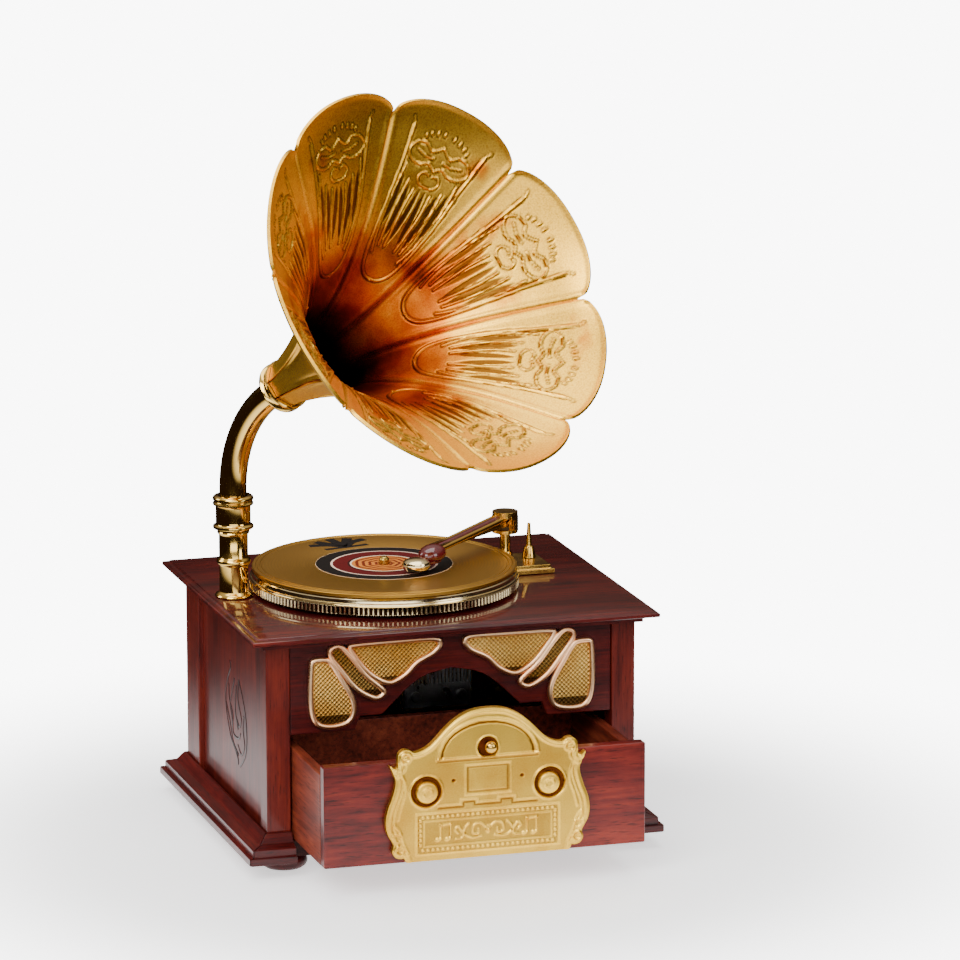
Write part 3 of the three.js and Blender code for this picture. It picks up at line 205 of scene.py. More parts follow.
@dataclass
class Relief:
    """Raised work on a flat or bent face: strokes, domes and flats in face millimetres."""

    height: Callable[[np.ndarray], np.ndarray] | None = None
    parts: list[Callable[[np.ndarray], np.ndarray]] = field(default_factory=list)

    def stroke(self, points: Sequence[Point2], width: float, rise: float, curved: bool = True) -> "Relief":
        """Adds a rounded ridge, or a groove if rise is negative, along a line."""
        line = np.array(smooth_line(points) if curved and len(points) > 2 else points, float)

        def part(p: np.ndarray) -> np.ndarray:
            low, high = line.min(0) - width, line.max(0) + width
            near = np.flatnonzero(((p > low) & (p < high)).all(1))
            out = np.zeros(len(p))
            if not len(near):
                return out
            q = p[near]
            best = np.full(len(near), 1e9)
            for a, b in zip(line[:-1], line[1:]):
                d = b - a
                t = np.clip(((q - a) @ d) / max(d @ d, 1e-9), 0, 1)
                best = np.minimum(best, np.linalg.norm(q - a - t[:, None] * d, axis=1))
            out[near] = rise * np.clip(1 - (best / width) ** 2, 0, 1)
            return out
        self.parts.append(part)
        return self

    def dome(self, at: Point2, radii: Point2, rise: float, turn: float = 0) -> "Relief":
        """Adds an oval cushion, turned by degrees."""
        c, s = math.cos(math.radians(turn)), math.sin(math.radians(turn))

        def part(p: np.ndarray) -> np.ndarray:
            x, y = (p - np.array(at)).T
            r = ((c * x + s * y) / radii[0]) ** 2 + ((c * y - s * x) / radii[1]) ** 2
            return rise * np.sqrt(np.clip(1 - r, 0, 1))
        self.parts.append(part)
        return self

    def flat(self, low: Point2, high: Point2, rise: float, soft: float = 0.25) -> "Relief":
        """Adds a raised, or sunk, rectangle with soft edges."""
        def part(p: np.ndarray) -> np.ndarray:
            edge = np.minimum(p - np.array(low), np.array(high) - p).min(1)
            return rise * np.clip(edge / soft + 0.5, 0, 1)
        self.parts.append(part)
        return self

    def disc(self, at: Point2, radius: float, rise: float, soft: float = 0.25) -> "Relief":
        """Adds a raised, or sunk, disc with soft edges."""
        def part(p: np.ndarray) -> np.ndarray:
            return rise * np.clip((radius - np.linalg.norm(p - np.array(at), axis=1)) / soft + 0.5, 0, 1)
        self.parts.append(part)
        return self

    def ring(self, at: Point2, radii: Point2, width: float, rise: float,
             start: float = 0, end: float = 360) -> "Relief":
        """Adds a ridge along an oval, or part of one, in degrees."""
        turns = np.radians(np.linspace(start, end, max(8, int(abs(end - start) / 10))))
        return self.stroke([(at[0] + radii[0] * math.cos(a), at[1] + radii[1] * math.sin(a)) for a in turns],
                           width, rise, curved=False)

    def mirrored(self) -> "Relief":
        """The same work with its left half taken from its right half."""
        return Relief(parts=[lambda p: self.at(np.column_stack([np.abs(p[:, 0]), p[:, 1]]))])

    def at(self, points: np.ndarray) -> np.ndarray:
        """The height at each point, in millimetres."""
        return sum((part(points) for part in self.parts), np.zeros(len(points)))


# ---- finishes -----------------------------------------------------------------------------
class Grain(Enum):
    """The row axis that a board's grain runs along."""

    X = 0
    Y = 1
    Z = 2


@dataclass(frozen=True)
class Finish:
    """What every finish shares: a name and the shader's own values."""

    name: str

    def start(self) -> tuple[bpy.types.Material, bpy.types.NodeTree, bpy.types.Node, bpy.types.Node]:
        """Makes an empty material.

        Returns:
            The material, its tree, its shader and its coordinates.
        """
        material = bpy.data.materials.new(self.name)
        material.use_nodes = True
        tree = material.node_tree
        return material, tree, tree.nodes["Principled BSDF"], add_node(tree, "ShaderNodeTexCoord")

    def make(self) -> bpy.types.Material:
        """Builds the material."""
        raise NotImplementedError

    def material(self) -> bpy.types.Material:
        """The material of this finish, built the first time it is asked for."""
        return bpy.data.materials.get(self.name) or self.make()


@dataclass(frozen=True)
class LacqueredMahogany(Finish):
    """Mahogany under a rubbed lacquer: red-brown streaks, short dark pores, a clear glossy skin."""

    deep: str = "#26070a"
    body: str = "#4c1413"
    light: str = "#702a20"
    grain: Grain = Grain.X
    streak_mm: float = 3.2
    reach_mm: float = 46
    roughness: float = 0.42
    coat: float = 0.4
    coat_roughness: float = 0.12
    seed: float = 0

    def make(self) -> bpy.types.Material:
        """Builds the wood: wide figure, fine streaks, pores, and a lacquer coat over them."""
        material, tree, shader, place = self.start()

        def stretched(across: float, along: float) -> bpy.types.NodeSocket:
            """Coordinates scaled by two sizes in millimetres, across and along the grain."""
            scale = [1 / (across * MM)] * 3
            scale[self.grain.value] = 1 / (along * MM)
            return add_node(tree, "ShaderNodeMapping", {
                "Vector": place.outputs["Object"], "Scale": scale,
                "Location": (self.seed, self.seed * 1.7, self.seed * 0.6)}).outputs["Vector"]
        figure = add_node(tree, "ShaderNodeTexNoise", {
            "Vector": stretched(self.streak_mm * 3, self.reach_mm), "Scale": 1.0, "Detail": 3.0,
            "Roughness": 0.55, "Distortion": 0.9})
        streaks = add_node(tree, "ShaderNodeTexNoise", {
            "Vector": stretched(self.streak_mm * 0.32, self.reach_mm * 0.6), "Scale": 1.0, "Detail": 5.0,
            "Roughness": 0.62, "Distortion": 0.25})
        # pores of mahogany are 0.1 mm wide; they are drawn 0.35 mm wide so that they show
        pores = add_node(tree, "ShaderNodeTexNoise", {
            "Vector": stretched(0.35, 5), "Scale": 1.0, "Detail": 2.0, "Roughness": 0.5})
        both = add_node(tree, "ShaderNodeMix", {
            "Factor": 0.5, "A": figure.outputs["Fac"], "B": streaks.outputs["Fac"]}, data_type="FLOAT")
        tone = add_node(tree, "ShaderNodeValToRGB", {"Fac": both.outputs["Result"]}, stops=[
            (0.34, self.deep), (0.66, self.light), (0.5, self.body)])
        pits = add_node(tree, "ShaderNodeValToRGB", {"Fac": pores.outputs["Fac"]}, stops=[
            (0.30, "#9a9a9a"), (0.42, "#ffffff")])
        colour = add_node(tree, "ShaderNodeMix", {
            "Factor": 1.0, "A": tone.outputs["Color"], "B": pits.outputs["Color"]},
            data_type="RGBA", blend_type="MULTIPLY")
        bump = add_node(tree, "ShaderNodeBump", {
            "Height": streaks.outputs["Fac"], "Strength": 0.12, "Distance": 0.06 * MM})
        haze = add_node(tree, "ShaderNodeTexNoise", {
            "Vector": stretched(24, 24), "Scale": 1.0, "Detail": 2.0})
        rough = add_node(tree, "ShaderNodeMapRange", {
            "Value": haze.outputs["Fac"], "To Min": self.roughness - 0.06, "To Max": self.roughness + 0.08})
        tree.links.new(colour.outputs["Result"], shader.inputs["Base Color"])
        tree.links.new(rough.outputs["Result"], shader.inputs["Roughness"])
        tree.links.new(bump.outputs["Normal"], shader.inputs["Normal"])
        shader.inputs["IOR"].default_value = 1.5
        shader.inputs["Specular IOR Level"].default_value = 0.14
        shader.inputs["Coat Weight"].default_value = self.coat
        shader.inputs["Coat Roughness"].default_value = self.coat_roughness
        shader.inputs["Coat IOR"].default_value = 1.45
        return material


@dataclass(frozen=True)
class Gilt(Finish):
    """Gold-coloured plated metal: a fine blasted grain, soft tone changes, and painted shade in the hollows.
    """

    body: str = "#d9ad55"
    shade: str = "#b9812c"
    roughness: float = 0.4
    grain_mm: float = 0.35
    grain_depth: float = 0.5
    # painted shade colour for the hollows, mixed in by the stored depth attribute
    hollow_shade: str | None = None  # colour where the stored depth attribute is 0

    def make(self) -> bpy.types.Material:
        """Builds the metal."""
        material, tree, shader, place = self.start()
        grain = add_node(tree, "ShaderNodeTexNoise", {
            "Vector": place.outputs["Object"], "Scale": 1 / (self.grain_mm * MM), "Detail": 3.0,
            "Roughness": 0.6})
        cloud = add_node(tree, "ShaderNodeTexNoise", {
            "Vector": place.outputs["Object"], "Scale": 1 / (14 * MM), "Detail": 3.0, "Distortion": 0.4})
        blend = add_node(tree, "ShaderNodeMix", {
            "Factor": 0.4, "A": cloud.outputs["Fac"], "B": grain.outputs["Fac"]}, data_type="FLOAT")
        tone = add_node(tree, "ShaderNodeValToRGB", {"Fac": blend.outputs["Result"]}, stops=[
            (0.36, self.shade), (0.6, self.body)])
        colour = tone.outputs["Color"]
        # painted shade: the hollow colour is mixed in where the relief is low
        if self.hollow_shade:
            depth = add_node(tree, "ShaderNodeAttribute", attribute_name="depth")
            colour = add_node(tree, "ShaderNodeMix", {
                "Factor": depth.outputs["Fac"], "A": srgb(self.hollow_shade), "B": colour},
                data_type="RGBA").outputs["Result"]
        bump = add_node(tree, "ShaderNodeBump", {
            "Height": grain.outputs["Fac"], "Strength": self.grain_depth, "Distance": 0.02 * MM})
        rough = add_node(tree, "ShaderNodeMapRange", {
            "Value": blend.outputs["Result"], "From Min": 0.3, "From Max": 0.7,
            "To Min": self.roughness + 0.06, "To Max": self.roughness - 0.05})
        tree.links.new(colour, shader.inputs["Base Color"])
        tree.links.new(rough.outputs["Result"], shader.inputs["Roughness"])
        tree.links.new(bump.outputs["Normal"], shader.inputs["Normal"])
        shader.inputs["Metallic"].default_value = 1.0
        return material


@dataclass(frozen=True)
class HornGilt(Finish):
    """Blasted gold plate on the petals, with painted shade darkening it to brown and black down the throat.
    """

    petal: str = "#f6c444"
    shade: str = "#d6992c"
    # painted shade colours for the throat's brown and black
    throat: str = "#a0420a"
    dark: str = "#200502"

    def make(self) -> bpy.types.Material:
        """Builds the metal; the stored flare attribute runs from 0 at the collar to 1 at the tips."""
        material, tree, shader, place = self.start()
        grain = add_node(tree, "ShaderNodeTexNoise", {
            "Vector": place.outputs["Object"], "Scale": 1 / (0.45 * MM), "Detail": 4.0, "Roughness": 0.7})
        cloud = add_node(tree, "ShaderNodeTexNoise", {
            "Vector": place.outputs["Object"], "Scale": 1 / (20 * MM), "Detail": 3.0})
        tone = add_node(tree, "ShaderNodeValToRGB", {"Fac": grain.outputs["Fac"]}, stops=[
            (0.36, self.shade), (0.58, self.petal)])
        flare = add_node(tree, "ShaderNodeAttribute", attribute_name="flare")
        wobble = add_node(tree, "ShaderNodeMath", {0: cloud.outputs["Fac"], 1: 0.08}, operation="MULTIPLY")
        # the flare is scaled by the soft patches, so the painted throat shade ends raggedly and runs well up
        # the petals
        shifted = add_node(tree, "ShaderNodeMath", {
            0: flare.outputs["Fac"], 1: cloud.outputs["Fac"], 2: wobble.outputs[0]}, operation="MULTIPLY_ADD")
        # painted shade down the throat: black at the collar, then brown and a painted warm reflected tint,
        # then plain gold
        throat_shade = add_node(tree, "ShaderNodeValToRGB", {"Fac": shifted.outputs[0]}, stops=[
            (0.13, self.dark), (0.37, "#ffffff"), (0.205, self.throat), (0.28, "#d9a050")])
        throat_shaded = add_node(tree, "ShaderNodeMix", {
            "Factor": 1.0, "A": tone.outputs["Color"], "B": throat_shade.outputs["Color"]},
            data_type="RGBA", blend_type="MULTIPLY")
        # painted shade: dark lines beside the lily's raised lines and strips between its stems
        line = add_node(tree, "ShaderNodeAttribute", attribute_name="line")
        colour = add_node(tree, "ShaderNodeMix", {
            "Factor": line.outputs["Fac"], "A": throat_shaded.outputs["Result"], "B": srgb("#5c2c06")},
            data_type="RGBA")
        bump = add_node(tree, "ShaderNodeBump", {
            "Height": grain.outputs["Fac"], "Strength": 0.45, "Distance": 0.02 * MM})
        tree.links.new(colour.outputs["Result"], shader.inputs["Base Color"])
        tree.links.new(bump.outputs["Normal"], shader.inputs["Normal"])
        rough = add_node(tree, "ShaderNodeMapRange", {
            "Value": grain.outputs["Fac"], "To Min": 0.28, "To Max": 0.46})
        tree.links.new(rough.outputs["Result"], shader.inputs["Roughness"])
        shader.inputs["Metallic"].default_value = 1.0
        return material


@dataclass(frozen=True)
class Polished(Finish):
    """Metal polished on a wheel: a mirror face with faint hairlines and a few dull patches."""

    body: str = "#e4bb5e"
    roughness: float = 0.1
    # painted shade colour for the low places
    hollow_shade: str | None = None  # colour where the stored depth attribute is 0

    def make(self) -> bpy.types.Material:
        """Builds the metal."""
        material, tree, shader, place = self.start()
        hair = add_node(tree, "ShaderNodeTexNoise", {
            "Vector": add_node(tree, "ShaderNodeMapping", {
                "Vector": place.outputs["Object"], "Scale": (1, 1, 14)}).outputs["Vector"],
            "Scale": 1 / (4 * MM), "Detail": 4.0})
        patch = add_node(tree, "ShaderNodeTexNoise", {
            "Vector": place.outputs["Object"], "Scale": 1 / (6 * MM), "Detail": 3.0})
        rough = add_node(tree, "ShaderNodeMapRange", {
            "Value": patch.outputs["Fac"], "From Min": 0.3, "From Max": 0.7,
            "To Min": self.roughness * 0.7, "To Max": self.roughness * 1.7})
        tone = add_node(tree, "ShaderNodeMix", {
            "Factor": patch.outputs["Fac"], "A": srgb(self.body),
            "B": tuple(0.86 * c for c in srgb(self.body)[:3]) + (1.0,)}, data_type="RGBA")
        # painted shade: the hollow colour is mixed in where the stored depth is low
        if self.hollow_shade:
            depth = add_node(tree, "ShaderNodeAttribute", attribute_name="depth")
            tone = add_node(tree, "ShaderNodeMix", {
                "Factor": depth.outputs["Fac"], "A": srgb(self.hollow_shade), "B": tone.outputs["Result"]},
                data_type="RGBA")
        bump = add_node(tree, "ShaderNodeBump", {
            "Height": hair.outputs["Fac"], "Strength": 0.06, "Distance": 0.02 * MM})
        tree.links.new(tone.outputs["Result"], shader.inputs["Base Color"])
        tree.links.new(rough.outputs["Result"], shader.inputs["Roughness"])
        tree.links.new(bump.outputs["Normal"], shader.inputs["Normal"])
        shader.inputs["Metallic"].default_value = 1.0
        return material


@dataclass(frozen=True)
class MouldedShell(Finish):
    """Dark red glossy moulded ABS: a smooth skin with a slight orange-peel ripple."""

    body: str = "#4a0c10"
    roughness: float = 0.16

    def make(self) -> bpy.types.Material:
        """Builds the plastic."""
        material, tree, shader, place = self.start()
        peel = add_node(tree, "ShaderNodeTexNoise", {
            "Vector": place.outputs["Object"], "Scale": 1 / (1.1 * MM), "Detail": 2.0})
        tone = add_node(tree, "ShaderNodeValToRGB", {"Fac": peel.outputs["Fac"]}, stops=[
            (0.3, self.body), (0.7, "#5c1416")])
        bump = add_node(tree, "ShaderNodeBump", {
            "Height": peel.outputs["Fac"], "Strength": 0.08, "Distance": 0.03 * MM})
        tree.links.new(tone.outputs["Color"], shader.inputs["Base Color"])
        tree.links.new(bump.outputs["Normal"], shader.inputs["Normal"])
        shader.inputs["Roughness"].default_value = self.roughness
        shader.inputs["IOR"].default_value = 1.54
        shader.inputs["Coat Weight"].default_value = 0.4
        shader.inputs["Coat Roughness"].default_value = 0.05
        return material


@dataclass(frozen=True)
class BlackInk(Finish):
    """Thick black screen-printing ink: nearly matt, with a faint unevenness."""

    def make(self) -> bpy.types.Material:
        """Builds the ink."""
        material, tree, shader, place = self.start()
        film = add_node(tree, "ShaderNodeTexNoise", {
            "Vector": place.outputs["Object"], "Scale": 1 / (0.6 * MM), "Detail": 2.0})
        tone = add_node(tree, "ShaderNodeValToRGB", {"Fac": film.outputs["Fac"]}, stops=[
            (0.3, "#0a0706"), (0.7, "#1a1210")])
        tree.links.new(tone.outputs["Color"], shader.inputs["Base Color"])
        shader.inputs["Roughness"].default_value = 0.6
        shader.inputs["Specular IOR Level"].default_value = 0.15
        return material


@dataclass(frozen=True)
class PressedRecord(Finish):
    """A gold-coloured pressed disc: fine rings that catch the light in a fan."""

    body: str = "#cf9c42"

    def make(self) -> bpy.types.Material:
        """Builds the disc; the stored radius attribute is in millimetres."""
        material, tree, shader, place = self.start()
        radius = add_node(tree, "ShaderNodeAttribute", attribute_name="radius")
        # real grooves are 0.1 mm apart; they are drawn 0.9 mm apart so that they show
        turns = add_node(tree, "ShaderNodeMath", {0: radius.outputs["Fac"], 1: 2 * math.pi / 0.9},
                         operation="MULTIPLY")
        wave = add_node(tree, "ShaderNodeMath", {0: turns.outputs[0]}, operation="SINE")
        dust = add_node(tree, "ShaderNodeTexNoise", {
            "Vector": place.outputs["Object"], "Scale": 1 / (0.5 * MM), "Detail": 3.0})
        tone = add_node(tree, "ShaderNodeMapRange", {
            "Value": wave.outputs[0], "From Min": -1.0, "From Max": 1.0, "To Min": 0.0, "To Max": 0.16})
        colour = add_node(tree, "ShaderNodeMix", {
            "Factor": tone.outputs["Result"], "A": srgb(self.body), "B": srgb("#8a5a18")}, data_type="RGBA")
        bump = add_node(tree, "ShaderNodeBump", {
            "Height": wave.outputs[0], "Strength": 0.06, "Distance": 0.02 * MM})
        rough = add_node(tree, "ShaderNodeMapRange", {
            "Value": dust.outputs["Fac"], "To Min": 0.3, "To Max": 0.4})
        tree.links.new(colour.outputs["Result"], shader.inputs["Base Color"])
        tree.links.new(bump.outputs["Normal"], shader.inputs["Normal"])
        tree.links.new(rough.outputs["Result"], shader.inputs["Roughness"])
        shader.inputs["Metallic"].default_value = 1.0
        return material


@dataclass(frozen=True)
class PrintedLabel(Finish):
    """A printed paper label under varnish: rings of ink round lobed engraved lines."""

    def make(self) -> bpy.types.Material:
        """Builds the print from the stored radius (mm) and angle (turns) attributes."""
        material, tree, shader, place = self.start()
        radius = add_node(tree, "ShaderNodeAttribute", attribute_name="radius")
        turn = add_node(tree, "ShaderNodeAttribute", attribute_name="turn")
        share = add_node(tree, "ShaderNodeMath", {0: radius.outputs["Fac"], 1: 1 / 20}, operation="MULTIPLY")
        rings = add_node(tree, "ShaderNodeValToRGB", {"Fac": share.outputs[0]}, stops=[
            (0.0, "#c9762c"), (0.985, "#e8c8a0"), (0.47, "#f0dcc0"), (0.495, "#2a0a08"), (0.53, "#570a0c"),
            (0.745, "#eac9b4"), (0.775, "#100b0a")])
        rings.color_ramp.interpolation = "CONSTANT"
        lobes = add_node(tree, "ShaderNodeMath", {0: turn.outputs["Fac"], 1: 2 * math.pi * 7},
                         operation="MULTIPLY")
        wave = add_node(tree, "ShaderNodeMath", {0: lobes.outputs[0]}, operation="SINE")
        # engraved scroll lines: rings bent by seven lobes
        bent = add_node(tree, "ShaderNodeMath", {0: wave.outputs[0], 1: 0.22, 2: radius.outputs["Fac"]},
                        operation="MULTIPLY_ADD")
        bent_rings = add_node(tree, "ShaderNodeMath", {0: bent.outputs[0], 1: 2 * math.pi / 1.9},
                              operation="MULTIPLY")
        engraved = add_node(tree, "ShaderNodeMath", {0: bent_rings.outputs[0]}, operation="SINE")
        cut = add_node(tree, "ShaderNodeMath", {0: engraved.outputs[0], 1: 0.1}, operation="GREATER_THAN")
        within = add_node(tree, "ShaderNodeMath", {0: radius.outputs["Fac"], 1: 8.8}, operation="LESS_THAN")
        inside = add_node(tree, "ShaderNodeMath", {0: cut.outputs[0], 1: within.outputs[0]},
                          operation="MULTIPLY")
        paper = add_node(tree, "ShaderNodeTexNoise", {
            "Vector": place.outputs["Object"], "Scale": 1 / (0.4 * MM), "Detail": 3.0})
        ink = add_node(tree, "ShaderNodeMix", {
            "Factor": inside.outputs[0], "A": rings.outputs["Color"], "B": srgb("#6a2408")},
            data_type="RGBA")
        worn = add_node(tree, "ShaderNodeMix", {
            "Factor": 0.12, "A": ink.outputs["Result"], "B": paper.outputs["Color"]},
            data_type="RGBA", blend_type="OVERLAY")
        tree.links.new(worn.outputs["Result"], shader.inputs["Base Color"])
        shader.inputs["Roughness"].default_value = 0.45
        shader.inputs["Specular IOR Level"].default_value = 0.15
        shader.inputs["Coat Weight"].default_value = 0.1
        shader.inputs["Coat Roughness"].default_value = 0.15
        return material


@dataclass(frozen=True)
class PaintedSweep(Finish):
    """The pale matt paint of the floor that the box stands on, which fades out away from it."""

    def make(self) -> bpy.types.Material:
        """Builds the paint, with a faint roller mottle."""
        material, tree, shader, place = self.start()
        mottle = add_node(tree, "ShaderNodeTexNoise", {
            "Vector": place.outputs["Object"], "Scale": 1 / (60 * MM), "Detail": 2.0})
        tone = add_node(tree, "ShaderNodeValToRGB", {"Fac": mottle.outputs["Fac"]}, stops=[
            (0.3, "#f2f2f2"), (0.7, "#f7f7f7")])
        reach = add_node(tree, "ShaderNodeVectorMath", {0: place.outputs["Object"]}, operation="LENGTH")
        fade = add_node(tree, "ShaderNodeMapRange", {
            "Value": reach.outputs["Value"], "From Min": 0.09, "From Max": 0.24,
            "To Min": 1.0, "To Max": 0.0},
            interpolation_type="SMOOTHSTEP")
        tree.links.new(fade.outputs["Result"], shader.inputs["Alpha"])
        tree.links.new(tone.outputs["Color"], shader.inputs["Base Color"])
        shader.inputs["Roughness"].default_value = 0.85
        shader.inputs["Specular IOR Level"].default_value = 0.1
        shader.inputs["Emission Color"].default_value = (1, 1, 1, 1)
        shader.inputs["Emission Strength"].default_value = 1.0
        return material


# ---- the finishes of this box -------------------------------------------------------------
BOARD_WOOD = LacqueredMahogany("lacquered_mahogany_top", "#220405", "#430b0b", "#651a12", Grain.X, coat=0.8,
                               coat_roughness=0.04, seed=3.1)
PANEL_WOOD = LacqueredMahogany("lacquered_mahogany_panel", "#2c0604", "#4f130d", "#682013", Grain.Z,
                               coat=0.25, seed=7.7)
FRONT_WOOD = LacqueredMahogany("lacquered_mahogany_front", "#200304", "#3d0807", "#54120c", Grain.X,
                               seed=1.3)
DRAWER_WOOD = LacqueredMahogany("figured_drawer_mahogany", "#300708", "#5a1410", "#782417", Grain.X,
                                streak_mm=5, reach_mm=30, roughness=0.38, seed=5.2)
LINING_WOOD = LacqueredMahogany("oiled_drawer_wood", "#3a130b", "#6a2a1b", "#8a4029", Grain.Y,
                                streak_mm=4, reach_mm=40, roughness=0.5, coat=0.15, seed=9.4)
DARK_WOOD = LacqueredMahogany("stained_inside_wood", "#160706", "#2b100c", "#3c1a12", Grain.X,
                              roughness=0.6, coat=0.0, seed=2.6)
# painted shade: the leaf's dark lines stand in for the shade in incised grooves
GROOVE_SHADE_WOOD = LacqueredMahogany("painted_groove_shade_wood", "#160303", "#240606", "#3a0c08", Grain.Z, seed=6.1)
HORN_GILT = HornGilt("blasted_horn_gilt")
# painted shade: the hollow colours of the plaque and of the woven mesh darken their low places
PLAQUE_GILT = Gilt("stamped_plaque_gilt", "#f4c94e", "#d6a236", 0.38, 0.4, 0.6, hollow_shade="#5a2a06")
RIM_GILT = Gilt("pale_gilt_bead", "#fbd3a4", "#eda878", 0.3, 0.3, 0.25)
WEAVE_GILT = Gilt("woven_gilt_mesh", "#ecc06a", "#c88f3a", 0.36, 0.3, 0.3, hollow_shade="#1e0803")
TUBE_GOLD = Polished("polished_tube_gold", "#e9bf63", 0.09)
PLATTER_GOLD = Polished("polished_platter_gold", "#f3dca6", 0.12)
# painted shade: the elbow's bore is coloured near black
BORE_SHADE_GILT = Gilt("painted_shade_bore_gilt", "#1c0a04", "#0c0402", 0.6, 0.4, 0.4)
# painted shade: the dark colour on the cut faces of the platter's teeth
MILLED_GOLD = Polished("milled_platter_gold", "#f5e0ae", 0.13, hollow_shade="#241204")
ARM_GOLD = Polished("polished_arm_gold", "#e0b356", 0.16)
BRASS = Polished("lacquered_brass", "#b89a4a", 0.24)
STEEL = Polished("ground_steel", "#a8a8a8", 0.3)
SHELL = MouldedShell("red_moulded_shell")
RECORD_GOLD = PressedRecord("pressed_gold_record")
LABEL_PRINT = PrintedLabel("varnished_label_print")
SWEEP = PaintedSweep("pale_floor_paint")


# ---- making and fitting pieces ------------------------------------------------------------
def dress(obj: bpy.types.Object, finish: Finish) -> bpy.types.Object:
    """Gives the object one finish all over, and returns it."""
    obj.data.materials.clear()
    obj.data.materials.append(finish.material())
    return obj


def fit(obj: bpy.types.Object, finish: Finish, body: str, slot: str, *stands_for: str) -> bpy.types.Object:
    """Dresses a finished piece and puts it on its body.

    Args:
        obj: the piece, at the origin.
        finish: its finish.
        body: the frame body it moves with.
        slot: the record's material slot; not used.
        stands_for: the frame nodes it replaces.

    Returns:
        The piece.
    """
    dress(obj, finish)
    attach(obj, body)
    if stands_for:
        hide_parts(*stands_for)
    LOG.info("%s: %d faces on %s", obj.name, len(obj.data.polygons), body)
    return obj


def eased(node: str, finish: Finish, width: float = 0.3, steps: int = 2,
          degrees: float = 35) -> bpy.types.Object:
    """A copy of a frame node with its sharp edges rounded over.

    Args:
        node: the frame node.
        finish: its finish.
        width: the rounding, in millimetres.
        steps: how many faces each rounding gets.
        degrees: faces that meet more flatly than this are shaded as one.

    Returns:
        The piece, fitted to its body.
    """
    source = frame["nodes"][node]
    obj = bpy.data.objects.new(node + "_piece", source.data.copy())
    bpy.context.scene.collection.objects.link(obj)
    only(obj)
    bpy.ops.object.mode_set(mode="EDIT")
    bpy.ops.mesh.select_all(action="SELECT")
    bpy.ops.mesh.remove_doubles(threshold=0.002 * MM)
    bpy.ops.mesh.customdata_custom_splitnormals_clear()
    bpy.ops.mesh.dissolve_limited(angle_limit=math.radians(1))
    bpy.ops.object.mode_set(mode="OBJECT")
    if width:
        modify(obj, "BEVEL", width=width * MM, segments=steps, limit_method="ANGLE",
               angle_limit=math.radians(30), use_clamp_overlap=True, miter_outer="MITER_SHARP")
    smooth(obj, degrees)
    modify(obj, "WEIGHTED_NORMAL", keep_sharp=True)  # keeps wide faces flat beside their rounded edges
    return fit(obj, finish, BODY_OF[node], SLOT_OF[node], node)


def edit(obj: bpy.types.Object, mode: str = "VERT") -> None:
    """Opens the object in edit mode with all of it selected."""
    only(obj)
    bpy.ops.object.mode_set(mode="EDIT")
    bpy.ops.mesh.select_mode(type=mode)
    bpy.ops.mesh.select_all(action="SELECT")


def pick_faces(obj: bpy.types.Object, chosen: np.ndarray) -> None:
    """Opens the object in edit mode with only the chosen faces selected."""
    edit(obj, "FACE")
    bpy.ops.mesh.select_all(action="DESELECT")
    bpy.ops.object.mode_set(mode="OBJECT")
    obj.data.polygons.foreach_set("select", chosen)
    bpy.ops.object.mode_set(mode="EDIT")


def point(name: str, at: Point3) -> bpy.types.Object:
    """One vertex, in edit mode and selected: a small plane merged to its middle.

    Args:
        name: the new object's name.
        at: where it is, in millimetres.

    Returns:
        The object.
    """
    deselect()
    bpy.ops.mesh.primitive_plane_add(size=MM, location=(0, 0, 0))
    obj = bpy.context.object
    obj.name = name
    edit(obj)
    bpy.ops.mesh.merge(type="CENTER")
    bpy.ops.transform.translate(value=Vector(at) * MM)
    return obj


def turned(name: str, profile: Sequence[Point2], middle: Point2 = (0, 0), steps: int = 64,
           degrees: float = 30) -> bpy.types.Object:
    """A piece turned about an upright axis: a profile of (radius, height) extruded, then spun.

    Args:
        name: the new object's name.
        profile: (radius, height) from one end to the other, in millimetres.
        middle: the axis, in millimetres.
        steps: faces round the piece.
        degrees: faces that meet more flatly than this are shaded as one.

    Returns:
        The piece, at the origin.
    """
    x, y = middle
    obj = point(name, (x + profile[0][0], y, profile[0][1]))
    for (r0, z0), (r1, z1) in zip(profile, profile[1:]):
        bpy.ops.mesh.extrude_region_move(
            TRANSFORM_OT_translate={"value": Vector((r1 - r0, 0, z1 - z0)) * MM})
    bpy.ops.mesh.select_all(action="SELECT")
    bpy.ops.mesh.spin(steps=steps, angle=2 * math.pi, center=Vector((x, y, 0)) * MM, axis=(0, 0, 1))
    bpy.ops.mesh.select_all(action="SELECT")
    bpy.ops.mesh.remove_doubles(threshold=0.003 * MM)
    bpy.ops.mesh.select_all(action="SELECT")
    bpy.ops.mesh.normals_make_consistent(inside=False)
    bpy.ops.object.mode_set(mode="OBJECT")
    keep_place(obj)
    return smooth(obj, degrees)


def bead(name: str, points: Sequence[Point3], radius: float, closed: bool = False,
         sides: int = 3) -> bpy.types.Object:
    """A round moulding that follows a line.

    Args:
        name: the new object's name.
        points: the line, in millimetres.
        radius: the moulding's radius, in millimetres.
        closed: whether the line's ends join.
        sides: bevel resolution of the section.

    Returns:
        The piece as a mesh at the origin.
    """
    deselect()
    curve = bpy.data.curves.new(name, "CURVE")
    curve.dimensions = "3D"
    curve.bevel_depth = radius * MM
    curve.bevel_resolution = sides
    curve.use_fill_caps = not closed
    spline = curve.splines.new("POLY")
    spline.points.add(len(points) - 1)
    for place, at in zip(spline.points, points):
        place.co = (*(Vector(at) * MM), 1)
    spline.use_cyclic_u = closed
    obj = bpy.data.objects.new(name, curve)
    bpy.context.scene.collection.objects.link(obj)
    only(obj)
    bpy.ops.object.convert(target="MESH")
    obj = bpy.context.object
    return smooth(obj, 60)


